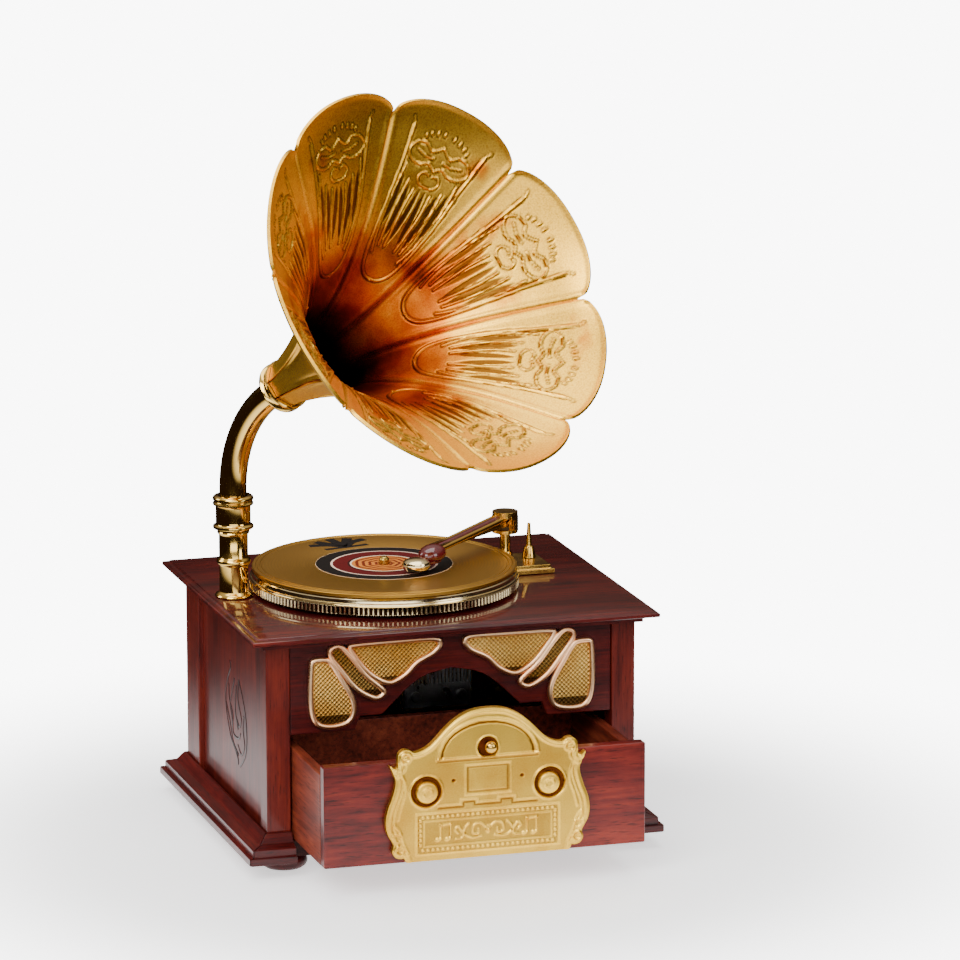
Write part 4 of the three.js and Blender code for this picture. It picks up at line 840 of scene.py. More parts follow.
def joined(name: str, pieces: Iterable[bpy.types.Object]) -> bpy.types.Object:
    """Joins finished meshes into one object, and returns it."""
    parts = list(pieces)
    deselect()
    for part in parts:
        part.select_set(True)
    bpy.context.view_layer.objects.active = parts[0]
    if len(parts) > 1:
        bpy.ops.object.join()
    obj = bpy.context.object
    obj.name = name
    return obj


def stamped(name: str, outline: np.ndarray, relief: Relief, pitch: float, face_y: float, thickness: float,
            middle: Point2 = (0, 0)) -> bpy.types.Object:
    """A stamped plate that faces -Y: a fine grid trimmed to an outline, raised, and given its thickness.

    Args:
        name: the new object's name.
        outline: the plate's edge, in face millimetres (x, height).
        relief: the raised work, in face millimetres.
        pitch: the grid's spacing, in millimetres.
        face_y: where the plate's flat face stands, in millimetres.
        thickness: how thick it is, in millimetres.
        middle: what is added to the face's x and height, in millimetres.

    Returns:
        The plate, at the origin, with the stored depth attribute, which paints shade into its low places.
    """
    low, high = outline.min(0) - pitch, outline.max(0) + pitch
    span = high - low
    counts = np.ceil(span / pitch).astype(int)
    deselect()
    bpy.ops.mesh.primitive_grid_add(x_subdivisions=int(counts[0]), y_subdivisions=int(counts[1]), size=2)
    obj = bpy.context.object
    obj.name = name
    flat = coordinates(obj)[:, :2]
    face = low + (flat + 1) / 2 * span
    inside = contains(outline, face)
    faces = np.array([p.vertices[:] for p in obj.data.polygons])
    drop = ~inside[faces].any(1)
    near, gap = nearest(outline, face)
    keep = np.zeros(len(face), bool)
    keep[faces[~drop].ravel()] = True
    snap = keep & (~inside | (gap < 0.3 * pitch))
    face[snap] = near[snap]
    gap[snap] = 0
    rise = relief.at(face)
    co = np.column_stack([face[:, 0] + middle[0], np.full(len(face), face_y) - rise,
                          face[:, 1] + middle[1]]) * MM
    move_to(obj, co)
    # painted shade: the lower the relief, the darker its colour; the flat face is already partly darkened
    attribute(obj, "depth", np.clip(0.72 + rise * 2.0, 0, 1))
    pick_faces(obj, drop)
    bpy.ops.mesh.delete(type="FACE")
    bpy.ops.object.mode_set(mode="OBJECT")
    down = obj.data.polygons[len(obj.data.polygons) // 2].normal.y > 0
    if down:
        edit(obj, "FACE")
        bpy.ops.mesh.flip_normals()
        bpy.ops.object.mode_set(mode="OBJECT")
    edit(obj, "FACE")
    bpy.ops.mesh.extrude_region_move(TRANSFORM_OT_translate={"value": (0, 0, 0)})
    bpy.ops.object.mode_set(mode="OBJECT")
    return backed(obj, (face_y + thickness) * MM)


def backed(obj: bpy.types.Object, back: float) -> bpy.types.Object:
    """Closes a doubled sheet: its selected copy is the front, the other is flattened to the back.

    Args:
        obj: the object, whose last extrusion is selected.
        back: the back's place along Y, in metres.

    Returns:
        The closed piece.
    """
    picked = np.zeros(len(obj.data.vertices), bool)
    obj.data.vertices.foreach_get("select", picked)
    co = coordinates(obj)
    co[~picked, 1] = back
    move_to(obj, co)
    edit(obj)
    bpy.ops.mesh.normals_make_consistent(inside=False)
    bpy.ops.object.mode_set(mode="OBJECT")
    return smooth(obj, 50)


def contains(outline: np.ndarray, points: np.ndarray) -> np.ndarray:
    """Whether each point lies inside a closed outline."""
    inside = np.zeros(len(points), bool)
    x, y = points.T
    for (x0, y0), (x1, y1) in zip(outline, np.roll(outline, -1, axis=0)):
        crosses = (y0 > y) != (y1 > y)
        with np.errstate(divide="ignore", invalid="ignore"):
            at = (x1 - x0) * (y - y0) / (y1 - y0) + x0
        inside ^= crosses & (x < at)
    return inside


def nearest(outline: np.ndarray, points: np.ndarray) -> tuple[np.ndarray, np.ndarray]:
    """The nearest place on a closed outline to each point, and how far it is."""
    best = np.full(len(points), 1e9)
    place = points.copy()
    for a, b in zip(outline, np.roll(outline, -1, axis=0)):
        d = b - a
        t = np.clip(((points - a) @ d) / max(d @ d, 1e-12), 0, 1)
        at = a + t[:, None] * d
        gap = np.linalg.norm(points - at, axis=1)
        closer = gap < best
        best[closer] = gap[closer]
        place[closer] = at[closer]
    return place, best


# ---- the case -----------------------------------------------------------------------------
@dataclass
class TopBoard:
    """The moulded top board: a bed, a cove out to the lip, and a stepped upper edge."""

    bore: float = 5.2
    profile: tuple[Point2, ...] = ((0, 0), (0, 1.75), (0.9, 1.8), (1.5, 1.95), (2.0, 1.9), (3.6, 1.9),
                                   (3.85, 2.15), (3.85, 2.9), (3.6, 3.15), (3.0, 3.3), (2.4, 3.35),
                                   (2.2, 3.45), (1.95, 3.75),
                                   (1.5, 3.9))

    def build(self) -> None:
        """Shapes a plane into the board by extruding and widening it, and bores it."""
        low, high = (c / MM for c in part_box("top_board"))
        middle, size = (low + high) / 2, high - low
        reach = max(r for r, _ in self.profile)
        base = Vector((size.x - 2 * reach, size.y - 2 * reach))
        deselect()
        bpy.ops.mesh.primitive_plane_add(size=MM, location=(middle.x * MM, middle.y * MM, low.z * MM))
        obj = bpy.context.object
        obj.name = "top_board_moulded"
        edit(obj, "FACE")
        pivot = Vector((middle.x, middle.y, low.z)) * MM
        bpy.ops.transform.resize(value=(base.x, base.y, 1), center_override=pivot)
        for (r0, z0), (r1, z1) in zip(self.profile, self.profile[1:]):
            bpy.ops.mesh.extrude_region_move(TRANSFORM_OT_translate={"value": (0, 0, (z1 - z0) * MM)})
            bpy.ops.transform.resize(value=((base.x + 2 * r1) / (base.x + 2 * r0),
                                            (base.y + 2 * r1) / (base.y + 2 * r0), 1), center_override=pivot)
        bpy.ops.mesh.select_all(action="SELECT")
        bpy.ops.mesh.normals_make_consistent(inside=False)
        bpy.ops.object.mode_set(mode="OBJECT")
        keep_place(obj)
        spindle = centre("spindle_bush")
        below, above = low.z - 2, high.z + 2
        drill = turned("drill", [(0, below), (self.bore, below), (self.bore, above), (0, above)],
                       (spindle.x, spindle.y), 40)
        modify(obj, "BOOLEAN", object=drill, operation="DIFFERENCE", solver="EXACT")
        bpy.data.objects.remove(drill)
        smooth(obj, 40)
        fit(obj, BOARD_WOOD, "case", "mahogany", "top_board")


@dataclass
class CarvedLeaf:
    """The flame-shaped leaf carved in each side panel, drawn as flat beads whose dark colour is painted
    groove shade.
    """

    height: float = 29.0
    width: float = 24.0
    bead_radius: float = 0.42
    lines: tuple[tuple[Point2, ...], ...] = (
        ((-0.52, 1), (-0.46, 0.86), (-0.72, 0.62), (-0.94, 0.25), (-0.88, -0.12), (-0.5, -0.56),
         (0.1, -0.84), (0.2, -1)),
        ((0.3, 0.76), (0.62, 0.48), (0.9, 0.14), (1, -0.22), (0.92, -0.6), (0.62, -0.86), (0.36, -1)),
        ((-0.1, 0.7), (-0.36, 0.36), (-0.52, 0.1), (-0.4, -0.1), (-0.28, -0.4)),
        ((0.05, 0.6), (-0.04, 0.2), (-0.02, 0), (0.2, -0.28)),
        ((0.3, 0.74), (0.2, 0.34), (0.5, 0), (0.32, -0.2), (0.1, -0.1)),
        ((-0.9, 0.06), (-0.52, -0.32), (-0.28, -0.62), (0.2, -0.8)),
        ((-0.64, 0.5), (-0.6, 0.2), (-0.3, -0.06), (-0.3, -0.4), (-0.06, -0.48), (0.28, -0.44),
         (0.42, -0.32)),
        ((0.74, 0.1), (0.66, -0.2), (0.78, -0.5), (0.5, -0.74), (0.16, -0.6)))

    def build(self, side: str) -> None:
        """Lays the leaf's lines on one panel.

        Args:
            side: left or right.
        """
        low, high = (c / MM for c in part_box(f"side_panel_{side}"))
        face = low.x if side == "left" else high.x
        out = -1 if side == "left" else 1
        middle_y, middle_z = low.y + 0.47 * (high.y - low.y), 0.5 * (low.z + high.z) - 1
        made = []
        for number, line in enumerate(self.lines):
            path = [(face + out * 0.05, middle_y - u * self.width / 2, middle_z + v * self.height / 2)
                    for u, v in smooth_line(line)]
            obj = bead(f"leaf_line_{number}", path, self.bead_radius, sides=2)
            co = coordinates(obj)
            co[:, 0] = face * MM + (co[:, 0] - face * MM) * 0.3
            move_to(obj, co)
            made.append(obj)
        fit(joined(f"carved_leaf_{side}", made), GROOVE_SHADE_WOOD, "case", "mahogany")


@dataclass
class Grille:
    """One gilt grille: three cells, each a round bead frame over a woven mesh."""

    bead_radius: float = 0.86
    weave: float = 0.66
    cells: tuple[tuple[Point2, ...], ...] = (
        ((2.9, -2.4), (5, -5.4), (9.9, -8), (13.6, -11.5), (18.8, -13.5), (24.4, -10.6), (28.9, -5.4),
         (30.9, -1.6), (29, -0.3), (17, -0.1), (5.2, -0.2)),
        ((32.8, -0.4), (29, -4.2), (24.7, -9.8), (19.7, -14.4), (20.2, -16.8), (23.4, -17.5), (28.6, -14.4),
         (33, -9), (36.5, -4), (36.2, -1.2)),
        ((38, -3.9), (35.4, -5), (32.4, -9.7), (28.9, -16), (28.4, -20.5), (30.6, -24), (36.3, -25),
         (40.6, -23.4), (42.3, -18), (42.3, -8), (41.5, -4.4)))

    def woven(self, p: np.ndarray) -> np.ndarray:
        """The height of the basket weave at each point of the face, in millimetres."""
        x, y = (p * math.pi / self.weave).T
        return 0.34 * np.sin(x) * np.sin(y) * np.where(np.sin(x) * np.sin(y) > 0, 1, 0.6)

    def shade(self, mesh: bpy.types.Object, cell: np.ndarray, top: float, light: float) -> None:
        """Paints shade into one cell's mesh: darker towards the bottom and darkest along its lowest part.

        Args:
            mesh: the woven plate.
            cell: its edge, in face millimetres.
            top: the height of the face's zero line.
            light: how light the whole cell is painted, from 0 to 1; below 1 is painted shade over the whole
                cell.
        """
        depth = np.zeros(len(mesh.data.vertices), np.float32)
        mesh.data.attributes["depth"].data.foreach_get("value", depth)
        above = coordinates(mesh)[:, 2] / MM - top - cell[:, 1].min()
        reach = cell[:, 1].max() - cell[:, 1].min()
        # painted shade: darker towards the bottom, nearly black along the lowest sixth, scaled by light
        depth *= light * np.where(above < 0.16 * reach, 0.12, 1.0) * np.clip(0.6 + above / reach * 0.6, 0, 1)
        mesh.data.attributes["depth"].data.foreach_set("value", depth)

    def build(self, side: int) -> None:
        """Makes the three cells on one side.

        Args:
            side: 1 for the right grille, -1 for the left one.
        """
        node = "grille_right" if side > 0 else "grille_left"
        low, high = (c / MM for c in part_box(node))
        top = high.z + 0.25
        x_middle = centre("floor_board").x
        rims, faces = [], []
        for number, cell in enumerate(self.cells):
            line = np.array(smooth_line(cell, 5, closed=True))
            inner = line + inward(line) * (self.bead_radius * 0.9)
            path = [(x_middle + side * x, low.y + self.bead_radius, top + z) for x, z in inner]
            rims.append(bead(f"rim_{number}", path, self.bead_radius, closed=True))
            plate = inner * (side, 1)
            faces.append(stamped(f"mesh_{number}", plate if side > 0 else plate[::-1],
                                 Relief(parts=[self.woven]), 0.165, low.y + 0.95, 0.6, (x_middle, top)))
            # the narrow middle cell gets painted shade all over
            self.shade(faces[-1], inner, top, 0.35 if number == 1 else 1.0)
        fit(joined(node + "_rims", rims), RIM_GILT, "case", "matt_gilt", node)
        fit(joined(node + "_mesh", faces), WEAVE_GILT, "case", "matt_gilt")


def inward(line: np.ndarray) -> np.ndarray:
    """The unit direction into a closed anticlockwise line at each of its points."""
    d = np.roll(line, -1, axis=0) - np.roll(line, 1, axis=0)
    d /= np.linalg.norm(d, axis=1)[:, None]
    return np.column_stack([-d[:, 1], d[:, 0]]) * (1 if area(line) > 0 else -1)


def area(line: np.ndarray) -> float:
    """The signed area inside a closed line."""
    x, y = line.T
    return float(np.sum(x * np.roll(y, -1) - np.roll(x, -1) * y) / 2)


@dataclass
class Case:
    """The fixed woodwork: posts, panels, plinth, feet, fascia and floor."""

    foot_profile: tuple[Point2, ...] = ((0, 0), (4.4, 0), (5.4, 0.25), (6.3, 0.9), (6.75, 1.8), (6.75, 2.6),
                                        (6.3, 3.5), (5.6, 4.1), (5.2, 4.3), (0, 4.3))

    def build(self) -> None:
        """Eases and finishes every fixed wooden piece, then lays the carving and the grilles on it."""
        TopBoard().build()
        for side in ("left", "right"):
            eased(f"side_panel_{side}", PANEL_WOOD, 0.2)
            eased(f"front_post_{side}", PANEL_WOOD, 0.35, 3)
            eased(f"rear_post_{side}", PANEL_WOOD, 0.35, 3)
            eased(f"plinth_{side}", FRONT_WOOD_Y, 0.25)
            eased(f"plinth_front_{side}", FRONT_WOOD, 0.25)
            CarvedLeaf().build(side)
        for node in ("plinth_back", "back_panel", "front_fascia"):
            eased(node, FRONT_WOOD, 0.25)
        eased("floor_board", DARK_WOOD, 0.2)
        for place in ("front_left", "front_right", "back_left", "back_right"):
            middle = centre(f"foot_{place}")
            obj = turned(f"bun_foot_{place}", self.foot_profile, (middle.x, middle.y), 48)
            fit(obj, FRONT_WOOD, "case", "mahogany", f"foot_{place}")
        for side in (1, -1):
            Grille().build(side)


FRONT_WOOD_Y = LacqueredMahogany("lacquered_mahogany_plinth", "#280405", "#470b09", "#5e160f", Grain.Y,
                                 seed=4.4)


# ---- the drawer ---------------------------------------------------------------------------
@dataclass
class Plaque:
    """The stamped plaque on the drawer: arch, dials, window, beaded panel, scrolls and ears."""

    pitch: float = 0.24
    half: tuple[Point2, ...] = (
        (24.0, 0.3), (24.4, 1.3), (25.4, 1.2), (27.0, 1.7), (27.9, 3.3), (27.5, 5.2), (28.2, 6.6),
        (29.4, 9.0), (29.8, 12.0), (29.2, 15.5), (28.0, 18.6), (27.1, 21.6), (26.9, 24.0),
        (27.7, 26.2), (28.5, 28.2),
        (27.3, 27.4), (26.3, 27.6), (26.2, 29.6), (25.9, 31.4), (24.6, 32.5), (22.9, 32.4), (21.6, 31.6),
        (19.6, 31.9), (17.2, 33.1), (14.9, 35.2), (12.3, 37.9), (9.2, 40.4), (5.6, 42.2), (2.4, 42.8))

    def outline(self) -> np.ndarray:
        """The plate's closed edge, anticlockwise, in face millimetres."""
        right = smooth_line(((23.9, 0), *self.half, (0, 42.9)), 4)
        left = [(-x, z) for x, z in reversed(right[:-1])]
        return np.array([*right, *left])

    def relief(self) -> Relief:
        """The stamped work, symmetric about the plate's middle but for the notes."""
        inner = np.array(self.outline())
        inner = inner + inward(inner) * 1.0
        half = Relief()
        half.stroke([tuple(p) for p in inner if p[0] >= -1], 0.7, 0.42, curved=False)
        second = self.outline() + inward(self.outline()) * 2.3
        half.stroke([tuple(p) for p in second if p[0] > 18 and 8 < p[1] < 29], 0.45, 0.26, curved=False)
        half.ring((0, 29.2), (14.6, 10.6), 0.55, 0.4, 0, 90)
        half.ring((0, 29.2), (13.4, 9.5), 0.4, -0.35, 0, 90)
        half.stroke([(0, 29.0), (14.9, 29.0)], 0.4, 0.36, curved=False)
        half.stroke([(0, 28.1), (14.6, 28.1)], 0.35, -0.25, curved=False)
        half.disc((0, 31.6), 2.9, -0.75, 0.5).ring((0, 31.6), (3.1, 3.1), 0.45, 0.3)
        half.disc((18.0, 20.0), 4.4, -0.55, 0.5).ring((18.0, 20.0), (4.7, 4.7), 0.5, 0.42)
        half.disc((17.8, 19.8), 3.2, 1.15, 0.5).dome((17.8, 19.8), (2.9, 2.9), 0.35)
        half.ring((17.8, 19.8), (1.3, 1.3), 0.35, 0.28).disc((10.0, 22.6), 0.55, -0.4, 0.3)
        half.flat((-7, 18.0), (6.9, 27.0), 0.22).flat((-7, 18.7), (6.2, 26.4), -0.42).flat(
            (-7, 19.3), (5.5, 25.8), 0.2)
        half.stroke([(0, 16.0), (3, 16.0), (3, 17.0), (8, 17.0), (8, 15.7), (14.5, 15.7)], 0.38, 0.3,
                    curved=False)
        half.stroke([(0, 15.1), (3.9, 15.1), (3.9, 16.1), (7.1, 16.1), (7.1, 14.8), (14.5, 14.8)],
                    0.35, -0.28, curved=False)
        half.flat((-22, 1.6), (21.2, 14.0), 0.26, 0.3).flat((-22, 2.3), (20.5, 13.3), -0.4, 0.3)
        half.flat((-22, 3.9), (18.9, 11.7), 0.22, 0.3).flat((-22, 4.4), (18.4, 11.2), -0.2, 0.3)
        for x in np.arange(0, 20.0, 1.46):
            for z in (3.1, 12.5):
                half.dome((float(x), z), (0.56, 0.52), 0.42, 0)
        for z in np.arange(4.6, 12, 1.42):
            half.dome((19.7, float(z)), (0.5, 0.56), 0.42)
        half.ring((26.0, 3.7), (1.25, 1.25), 0.45, 0.42).ring((26.6, 7.4), (1.5, 1.1), 0.4, 0.34, -120, 150)
        half.stroke([(23.2, 2.4), (24.6, 5.4), (25.6, 8.8), (27.2, 11.0)], 0.5, 0.32)
        half.ring((24.0, 30.2), (1.5, 1.5), 0.5, 0.42).dome((24.0, 30.2), (0.7, 0.7), 0.35)
        half.stroke([(25.6, 25.6), (24.2, 23.4), (24.0, 20.2), (25.2, 16.6), (26.2, 12.6)], 0.5, 0.3)
        whole = half.mirrored()
        for side in (-1, 1):
            self.notes(whole, side * 12.6)
        self.flourish(whole)
        return whole

    def notes(self, relief: Relief, x: float) -> None:
        """Adds a beamed pair of notes, 5 mm high, at one end of the beaded panel."""
        for at in (-1.5, 1.3):
            relief.dome((x + at - 0.5, 5.9), (0.95, 0.7), 0.5, 20)
            relief.stroke([(x + at + 0.3, 6.0), (x + at + 0.3, 10.2)], 0.32, 0.42, curved=False)
        relief.stroke([(x - 1.25, 10.0), (x + 1.65, 10.3)], 0.55, 0.42, curved=False)

    def flourish(self, relief: Relief) -> None:
        """Adds a plain scroll flourish between the notes."""
        for side in (-1, 1):
            for line in ([(0, 7.8), (2.2, 9.8), (4.2, 9.2), (4.4, 7.2), (3.0, 6.7), (2.7, 8.0)],
                         [(2.0, 6.0), (4.8, 5.7), (7.0, 7.0), (8.6, 9.2), (9.6, 8.4), (8.8, 7.3)],
                         [(5.6, 9.8), (6.8, 8.6), (7.6, 6.0), (9.4, 5.7)]):
                relief.stroke([(side * x, z) for x, z in line], 0.42, 0.42)
        relief.dome((0, 7.9), (0.8, 1.4), 0.5)

    def build(self) -> None:
        """Stamps the plate and fits it over its frame node."""
        low, high = (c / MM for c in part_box("plaque"))
        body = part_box("drawer_front")[0] / MM
        front = body.y - 0.15 - 2.0
        obj = stamped("stamped_plaque", self.outline(), self.relief(), self.pitch, front, 1.95,
                      ((low.x + high.x) / 2, low.z))
        fit(obj, PLAQUE_GILT, "drawer", "matt_gilt", "plaque")


@dataclass
class Drawer:
    """The drawer: a figured front, plain sides and bottom, its plaque and its turned pull."""

    knob: tuple[Point2, ...] = ((0, -0.2), (0.75, 0), (0.75, 1.0), (0.95, 1.3), (1.45, 1.7), (1.72, 2.3),
                                (1.68, 3.0), (1.3, 3.6), (0.7, 3.95), (0, 4.0))

    def build(self) -> None:
        """Finishes the drawer's boards and makes the plaque and the pull."""
        eased("drawer_front", DRAWER_WOOD, 0.45, 3)
        for node in ("drawer_side_left", "drawer_side_right", "drawer_back", "drawer_bottom"):
            eased(node, LINING_WOOD, 0.25)
        Plaque().build()
        low, high = (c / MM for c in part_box("drawer_knob"))
        middle = (low + high) / 2
        obj = turned("turned_pull", self.knob, (0, 0), 48)
        obj.data.transform(Matrix.Translation(Vector((middle.x, high.y, middle.z)) * MM)
                           @ Matrix.Rotation(math.radians(90), 4, "X"))
        fit(obj, ARM_GOLD, "drawer", SLOT_OF["drawer_knob"], "drawer_knob")


# ---- the turntable ------------------------------------------------------------------------
@dataclass
class Turntable:
    """The platter with its milled rim, the pressed record, its label and the spindle."""

    teeth: int = 176
    tooth_depth: float = 0.5
    record_profile: tuple[Point2, ...] = (
        (1.7, 0), (38.0, 0), (38.3, 0.2), (38.3, 0.95), (38.05, 1.15), (37.7, 1.2), (37.2, 1.2),
        (37.05, 1.08),
        (36.85, 1.08), (36.7, 1.2), (36.0, 1.2), (35.85, 1.05), (35.6, 1.05), (35.45, 1.17), (20.2, 1.17),
        (19.9, 1.06), (1.7, 1.06), (1.7, 0))

    def milled_platter(self, middle: Vector, low: float, high: float, radius: float) -> bpy.types.Object:
        """Turns the platter and cuts its rim into fine upright teeth.

        Args:
            middle: its axis, in millimetres.
            low: its underside.
            high: its top.
            radius: its outer radius.

        Returns:
            The platter.
        """
        rim = high - 1.6
        profile = [(1.8, low), (5, low), (5, high - 1.6), (radius - 2.4, high - 1.6),
                   (radius - 2.4, low + 0.2),
                   (radius - 0.5, low), (radius, low + 0.15), (radius, rim - 1.0), (radius, rim - 0.75),
                   (radius - 0.25, rim - 0.55), (radius, rim - 0.3), (radius - 0.1, rim),
                   (radius - 0.5, rim + 0.15),
                   (radius - 0.6, rim + 0.5), (radius - 0.6, high - 0.4), (radius - 0.9, high - 0.1),
                   (radius - 1.3, high), (1.8, high), (1.8, low)]
        obj = turned("milled_platter", profile, (middle.x, middle.y), self.teeth * 4, 50)
        co = coordinates(obj) / MM
        flat = co[:, :2] - np.array(middle[:2])
        reach = np.linalg.norm(flat, axis=1)
        turn = np.arctan2(flat[:, 1], flat[:, 0]) * self.teeth / (2 * math.pi)
        cut = (reach > radius - 0.05) & (co[:, 2] > low + 0.1) & (co[:, 2] < rim - 0.9)
        dip = self.tooth_depth * (np.cos(2 * math.pi * turn + math.pi / 4) < 0)
        co[cut, :2] -= (flat / reach[:, None] * dip[:, None])[cut]
        move_to(obj, co * MM)
        # painted shade: the cut faces of the teeth take the dark hollow colour
        attribute(obj, "depth", 1.0 - (cut & (dip > 0)))
        return smooth(obj, 30)

    def build(self) -> None:
        """Builds the turning pieces and fits them to the turntable."""
        low, high = (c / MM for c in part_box("platter"))
        middle = (low + high) / 2
        obj = self.milled_platter(middle, low.z, high.z, (high.x - low.x) / 2)
        fit(obj, MILLED_GOLD, "turntable", SLOT_OF["platter"], "platter")
        low, high = (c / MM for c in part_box("record"))
        axis = (middle.x, middle.y)
        disc = turned("pressed_record", [(r, low.z + z) for r, z in self.record_profile], axis, 160, 25)
        co = coordinates(disc)[:, :2] / MM - np.array(axis)
        attribute(disc, "radius", np.linalg.norm(co, axis=1))
        fit(disc, RECORD_GOLD, "turntable", SLOT_OF["record"], "record")
        self.label(axis, low.z + 1.07)
        self.ornament(axis, low.z + 1.17)
        spindle = eased("turntable_spindle", BRASS, 0.08, 1)
        LOG.info("spindle: %s", spindle.name)

    def label(self, axis: Point2, z: float) -> None:
        """Lays the printed label in the record's sunk middle."""
        hole, edge = 1.7, 19.85
        top = [(float(r), z + 0.1) for r in reversed([hole, *np.arange(2.2, 19.8, 0.4), edge])]
        outline = [(hole, z), (edge, z), (edge, z + 0.06), *top, (hole, z)]
        paper = turned("record_label", outline, axis, 160, 25)
        flat = coordinates(paper)[:, :2] / MM - np.array(axis)
        attribute(paper, "radius", np.linalg.norm(flat, axis=1))
        attribute(paper, "turn", np.arctan2(flat[:, 1], flat[:, 0]) / (2 * math.pi))
        fit(paper, LABEL_PRINT, "turntable", SLOT_OF["record"])

    def ornament(self, axis: Point2, z: float) -> None:
        """Lays a plain black palmette on the record beyond the label."""
        tips = ((-9, 29.6), (-5.2, 33), (0, 34.6), (5.2, 33), (9, 29.6))
        lines = [*[[(0, 24), (x * 0.45, 28), (x, y)] for x, y in tips], [(-7, 23.4), (0, 23.2), (7, 23.4)]]
        turn = math.radians(12)
        made = []
        for number, line in enumerate(lines):
            path = [(axis[0] + x * math.cos(turn) - y * math.sin(turn),
                     axis[1] + x * math.sin(turn) + y * math.cos(turn), z) for x, y in smooth_line(line, 8)]
            obj = bead(f"scroll_{number}", path, 1.0 if number == len(tips) else 1.5, sides=3)
            co = coordinates(obj)
            co[:, 2] = z * MM + (co[:, 2] - z * MM) * 0.035
            move_to(obj, co)
            made.append(obj)
        fit(joined("record_ornament", made), BLACK_INK, "turntable", SLOT_OF["record"])


BLACK_INK = BlackInk("black_printing_ink")


# ---- the tonearm --------------------------------------------------------------------------
@dataclass
class Tonearm:
    """The tonearm: a stepped base, a post and a rest, the yoke, the railed arm and the sound box."""

    box_profile: tuple[Point2, ...] = ((0, 0), (2.9, 0), (3.5, 0.15), (4.0, 0.7), (4.18, 1.4), (4.15, 1.7),
                                       (3.95, 1.85), (3.9, 2.1), (3.75, 2.5), (3.2, 2.95), (2.2, 3.3),
                                       (1.0, 3.5), (0, 3.55))

    def build(self) -> None:
        """Eases the frame's pieces and turns the sound box finely."""
        eased("tonearm_base", ARM_GOLD, 0.2, 2)
        for node in ("tonearm_post", "arm_rest", "tonearm_pin"):
            eased(node, ARM_GOLD, 0.0, 1, 50)
        eased("tonearm_yoke", ARM_GOLD, 0.25, 2)
        eased("tonearm_arm", ARM_GOLD, 0.12, 2)
        eased("tonearm_head_shell", SHELL, 0.5, 3)
        self.rails()
        self.cowl()
        low, high = (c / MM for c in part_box("sound_box"))
        middle = (low + high) / 2
        bottom = high.z - 3.6
        dome = turned("sound_box_dome", [(r, bottom + z) for r, z in self.box_profile],
                      (middle.x, middle.y), 56)
        needle = turned("needle", [(0, low.z), (0.2, low.z + 0.25), (0.42, bottom + 0.3), (0, bottom + 0.3)],
                        (middle.x, middle.y), 16)
        fit(joined("sound_box_piece", [dome, needle]), PLATTER_GOLD, "tonearm", SLOT_OF["sound_box"],
            "sound_box")


    def rails(self) -> None:
        """Lays two gilt rails on the arm's sides and a dark red strip between them."""
        head, tail = Vector((7.4, 15.0, 82.6)), Vector((34.6, 38.9, 84.6))
        along = (tail - head).normalized()
        across = Vector((-along.y, along.x, 0)).normalized()

        def rod(name: str, shift: float, lift: float, radius: float) -> bpy.types.Object:
            """Makes one straight rod beside or above the arm's line."""
            move = across * shift + Vector((0, 0, lift))
            return bead(name, [head + move, (head + tail) / 2 + move, tail + move], radius, sides=3)
        sides = [rod("rail_near", -1.75, 0, 0.8), rod("rail_far", 1.75, 0, 0.8)]
        fit(joined("tonearm_rails", sides), ARM_GOLD, "tonearm", SLOT_OF["tonearm_arm"])
        fit(rod("tonearm_strip", 0, -0.1, 1.15), SHELL, "tonearm", SLOT_OF["tonearm_head_shell"])

    def cowl(self) -> None:
        """Sets a rounded shell over the joint of the arm and the sound box."""
        deselect()
        bpy.ops.mesh.primitive_uv_sphere_add(segments=48, ring_count=24, radius=MM, location=(0, 0, 0))
        obj = bpy.context.object
        obj.name = "tonearm_cowl"
        obj.scale = (4.9, 3.7, 2.7)
        obj.rotation_euler = (0, math.radians(-4), math.atan2(23.9, 27.2))
        obj.location = Vector((6.1, 13.8, 81.5)) * MM
        keep_place(obj)
        fit(smooth(obj, 60), SHELL, "tonearm", SLOT_OF["tonearm_head_shell"])


# ---- the horn -----------------------------------------------------------------------------
@dataclass
class HornFrame:
    """Where the horn's own axis lies."""

    heading: float = -64.0
    rise: float = 31.1
    petal_turn: float = 33.2
    bend_radius: float = 35.8
    neck: float = 6.5
    bend_start: float = 101.3
    tube_bottom: float = 92.6

    @property
    def turn(self) -> float:
        """How far the tube bends, in radians."""
        return math.radians(90 - self.rise)

    def foot(self) -> Point2:
        """The upright tube's axis, in millimetres."""
        low, high = (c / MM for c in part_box("horn_sleeve"))
        return (low.x + high.x) / 2, (low.y + high.y) / 2

    def upright(self) -> Matrix:
        """From the bend's own plane (out, -, up) to the row frame, in millimetres."""
        x, y = self.foot()
        return Matrix.Translation((x, y, 0)) @ Matrix.Rotation(math.radians(self.heading), 4, "Z")

    def end(self) -> Matrix:
        """From the horn's own axes (along +Z) to the row frame, in millimetres."""
        t = self.turn
        x = self.bend_radius * (1 - math.cos(t)) + self.neck * math.sin(t)
        z = self.bend_start + self.bend_radius * math.sin(t) + self.neck * math.cos(t)
        return (self.upright() @ Matrix.Translation((x, 0, z)) @ Matrix.Rotation(t, 4, "Y")
                @ Matrix.Rotation(math.radians(self.petal_turn), 4, "Z"))


def in_metres(matrix: Matrix) -> Matrix:
    """The same placing with its move given in metres."""
    out = matrix.copy()
    out.translation = matrix.translation * MM
    return out


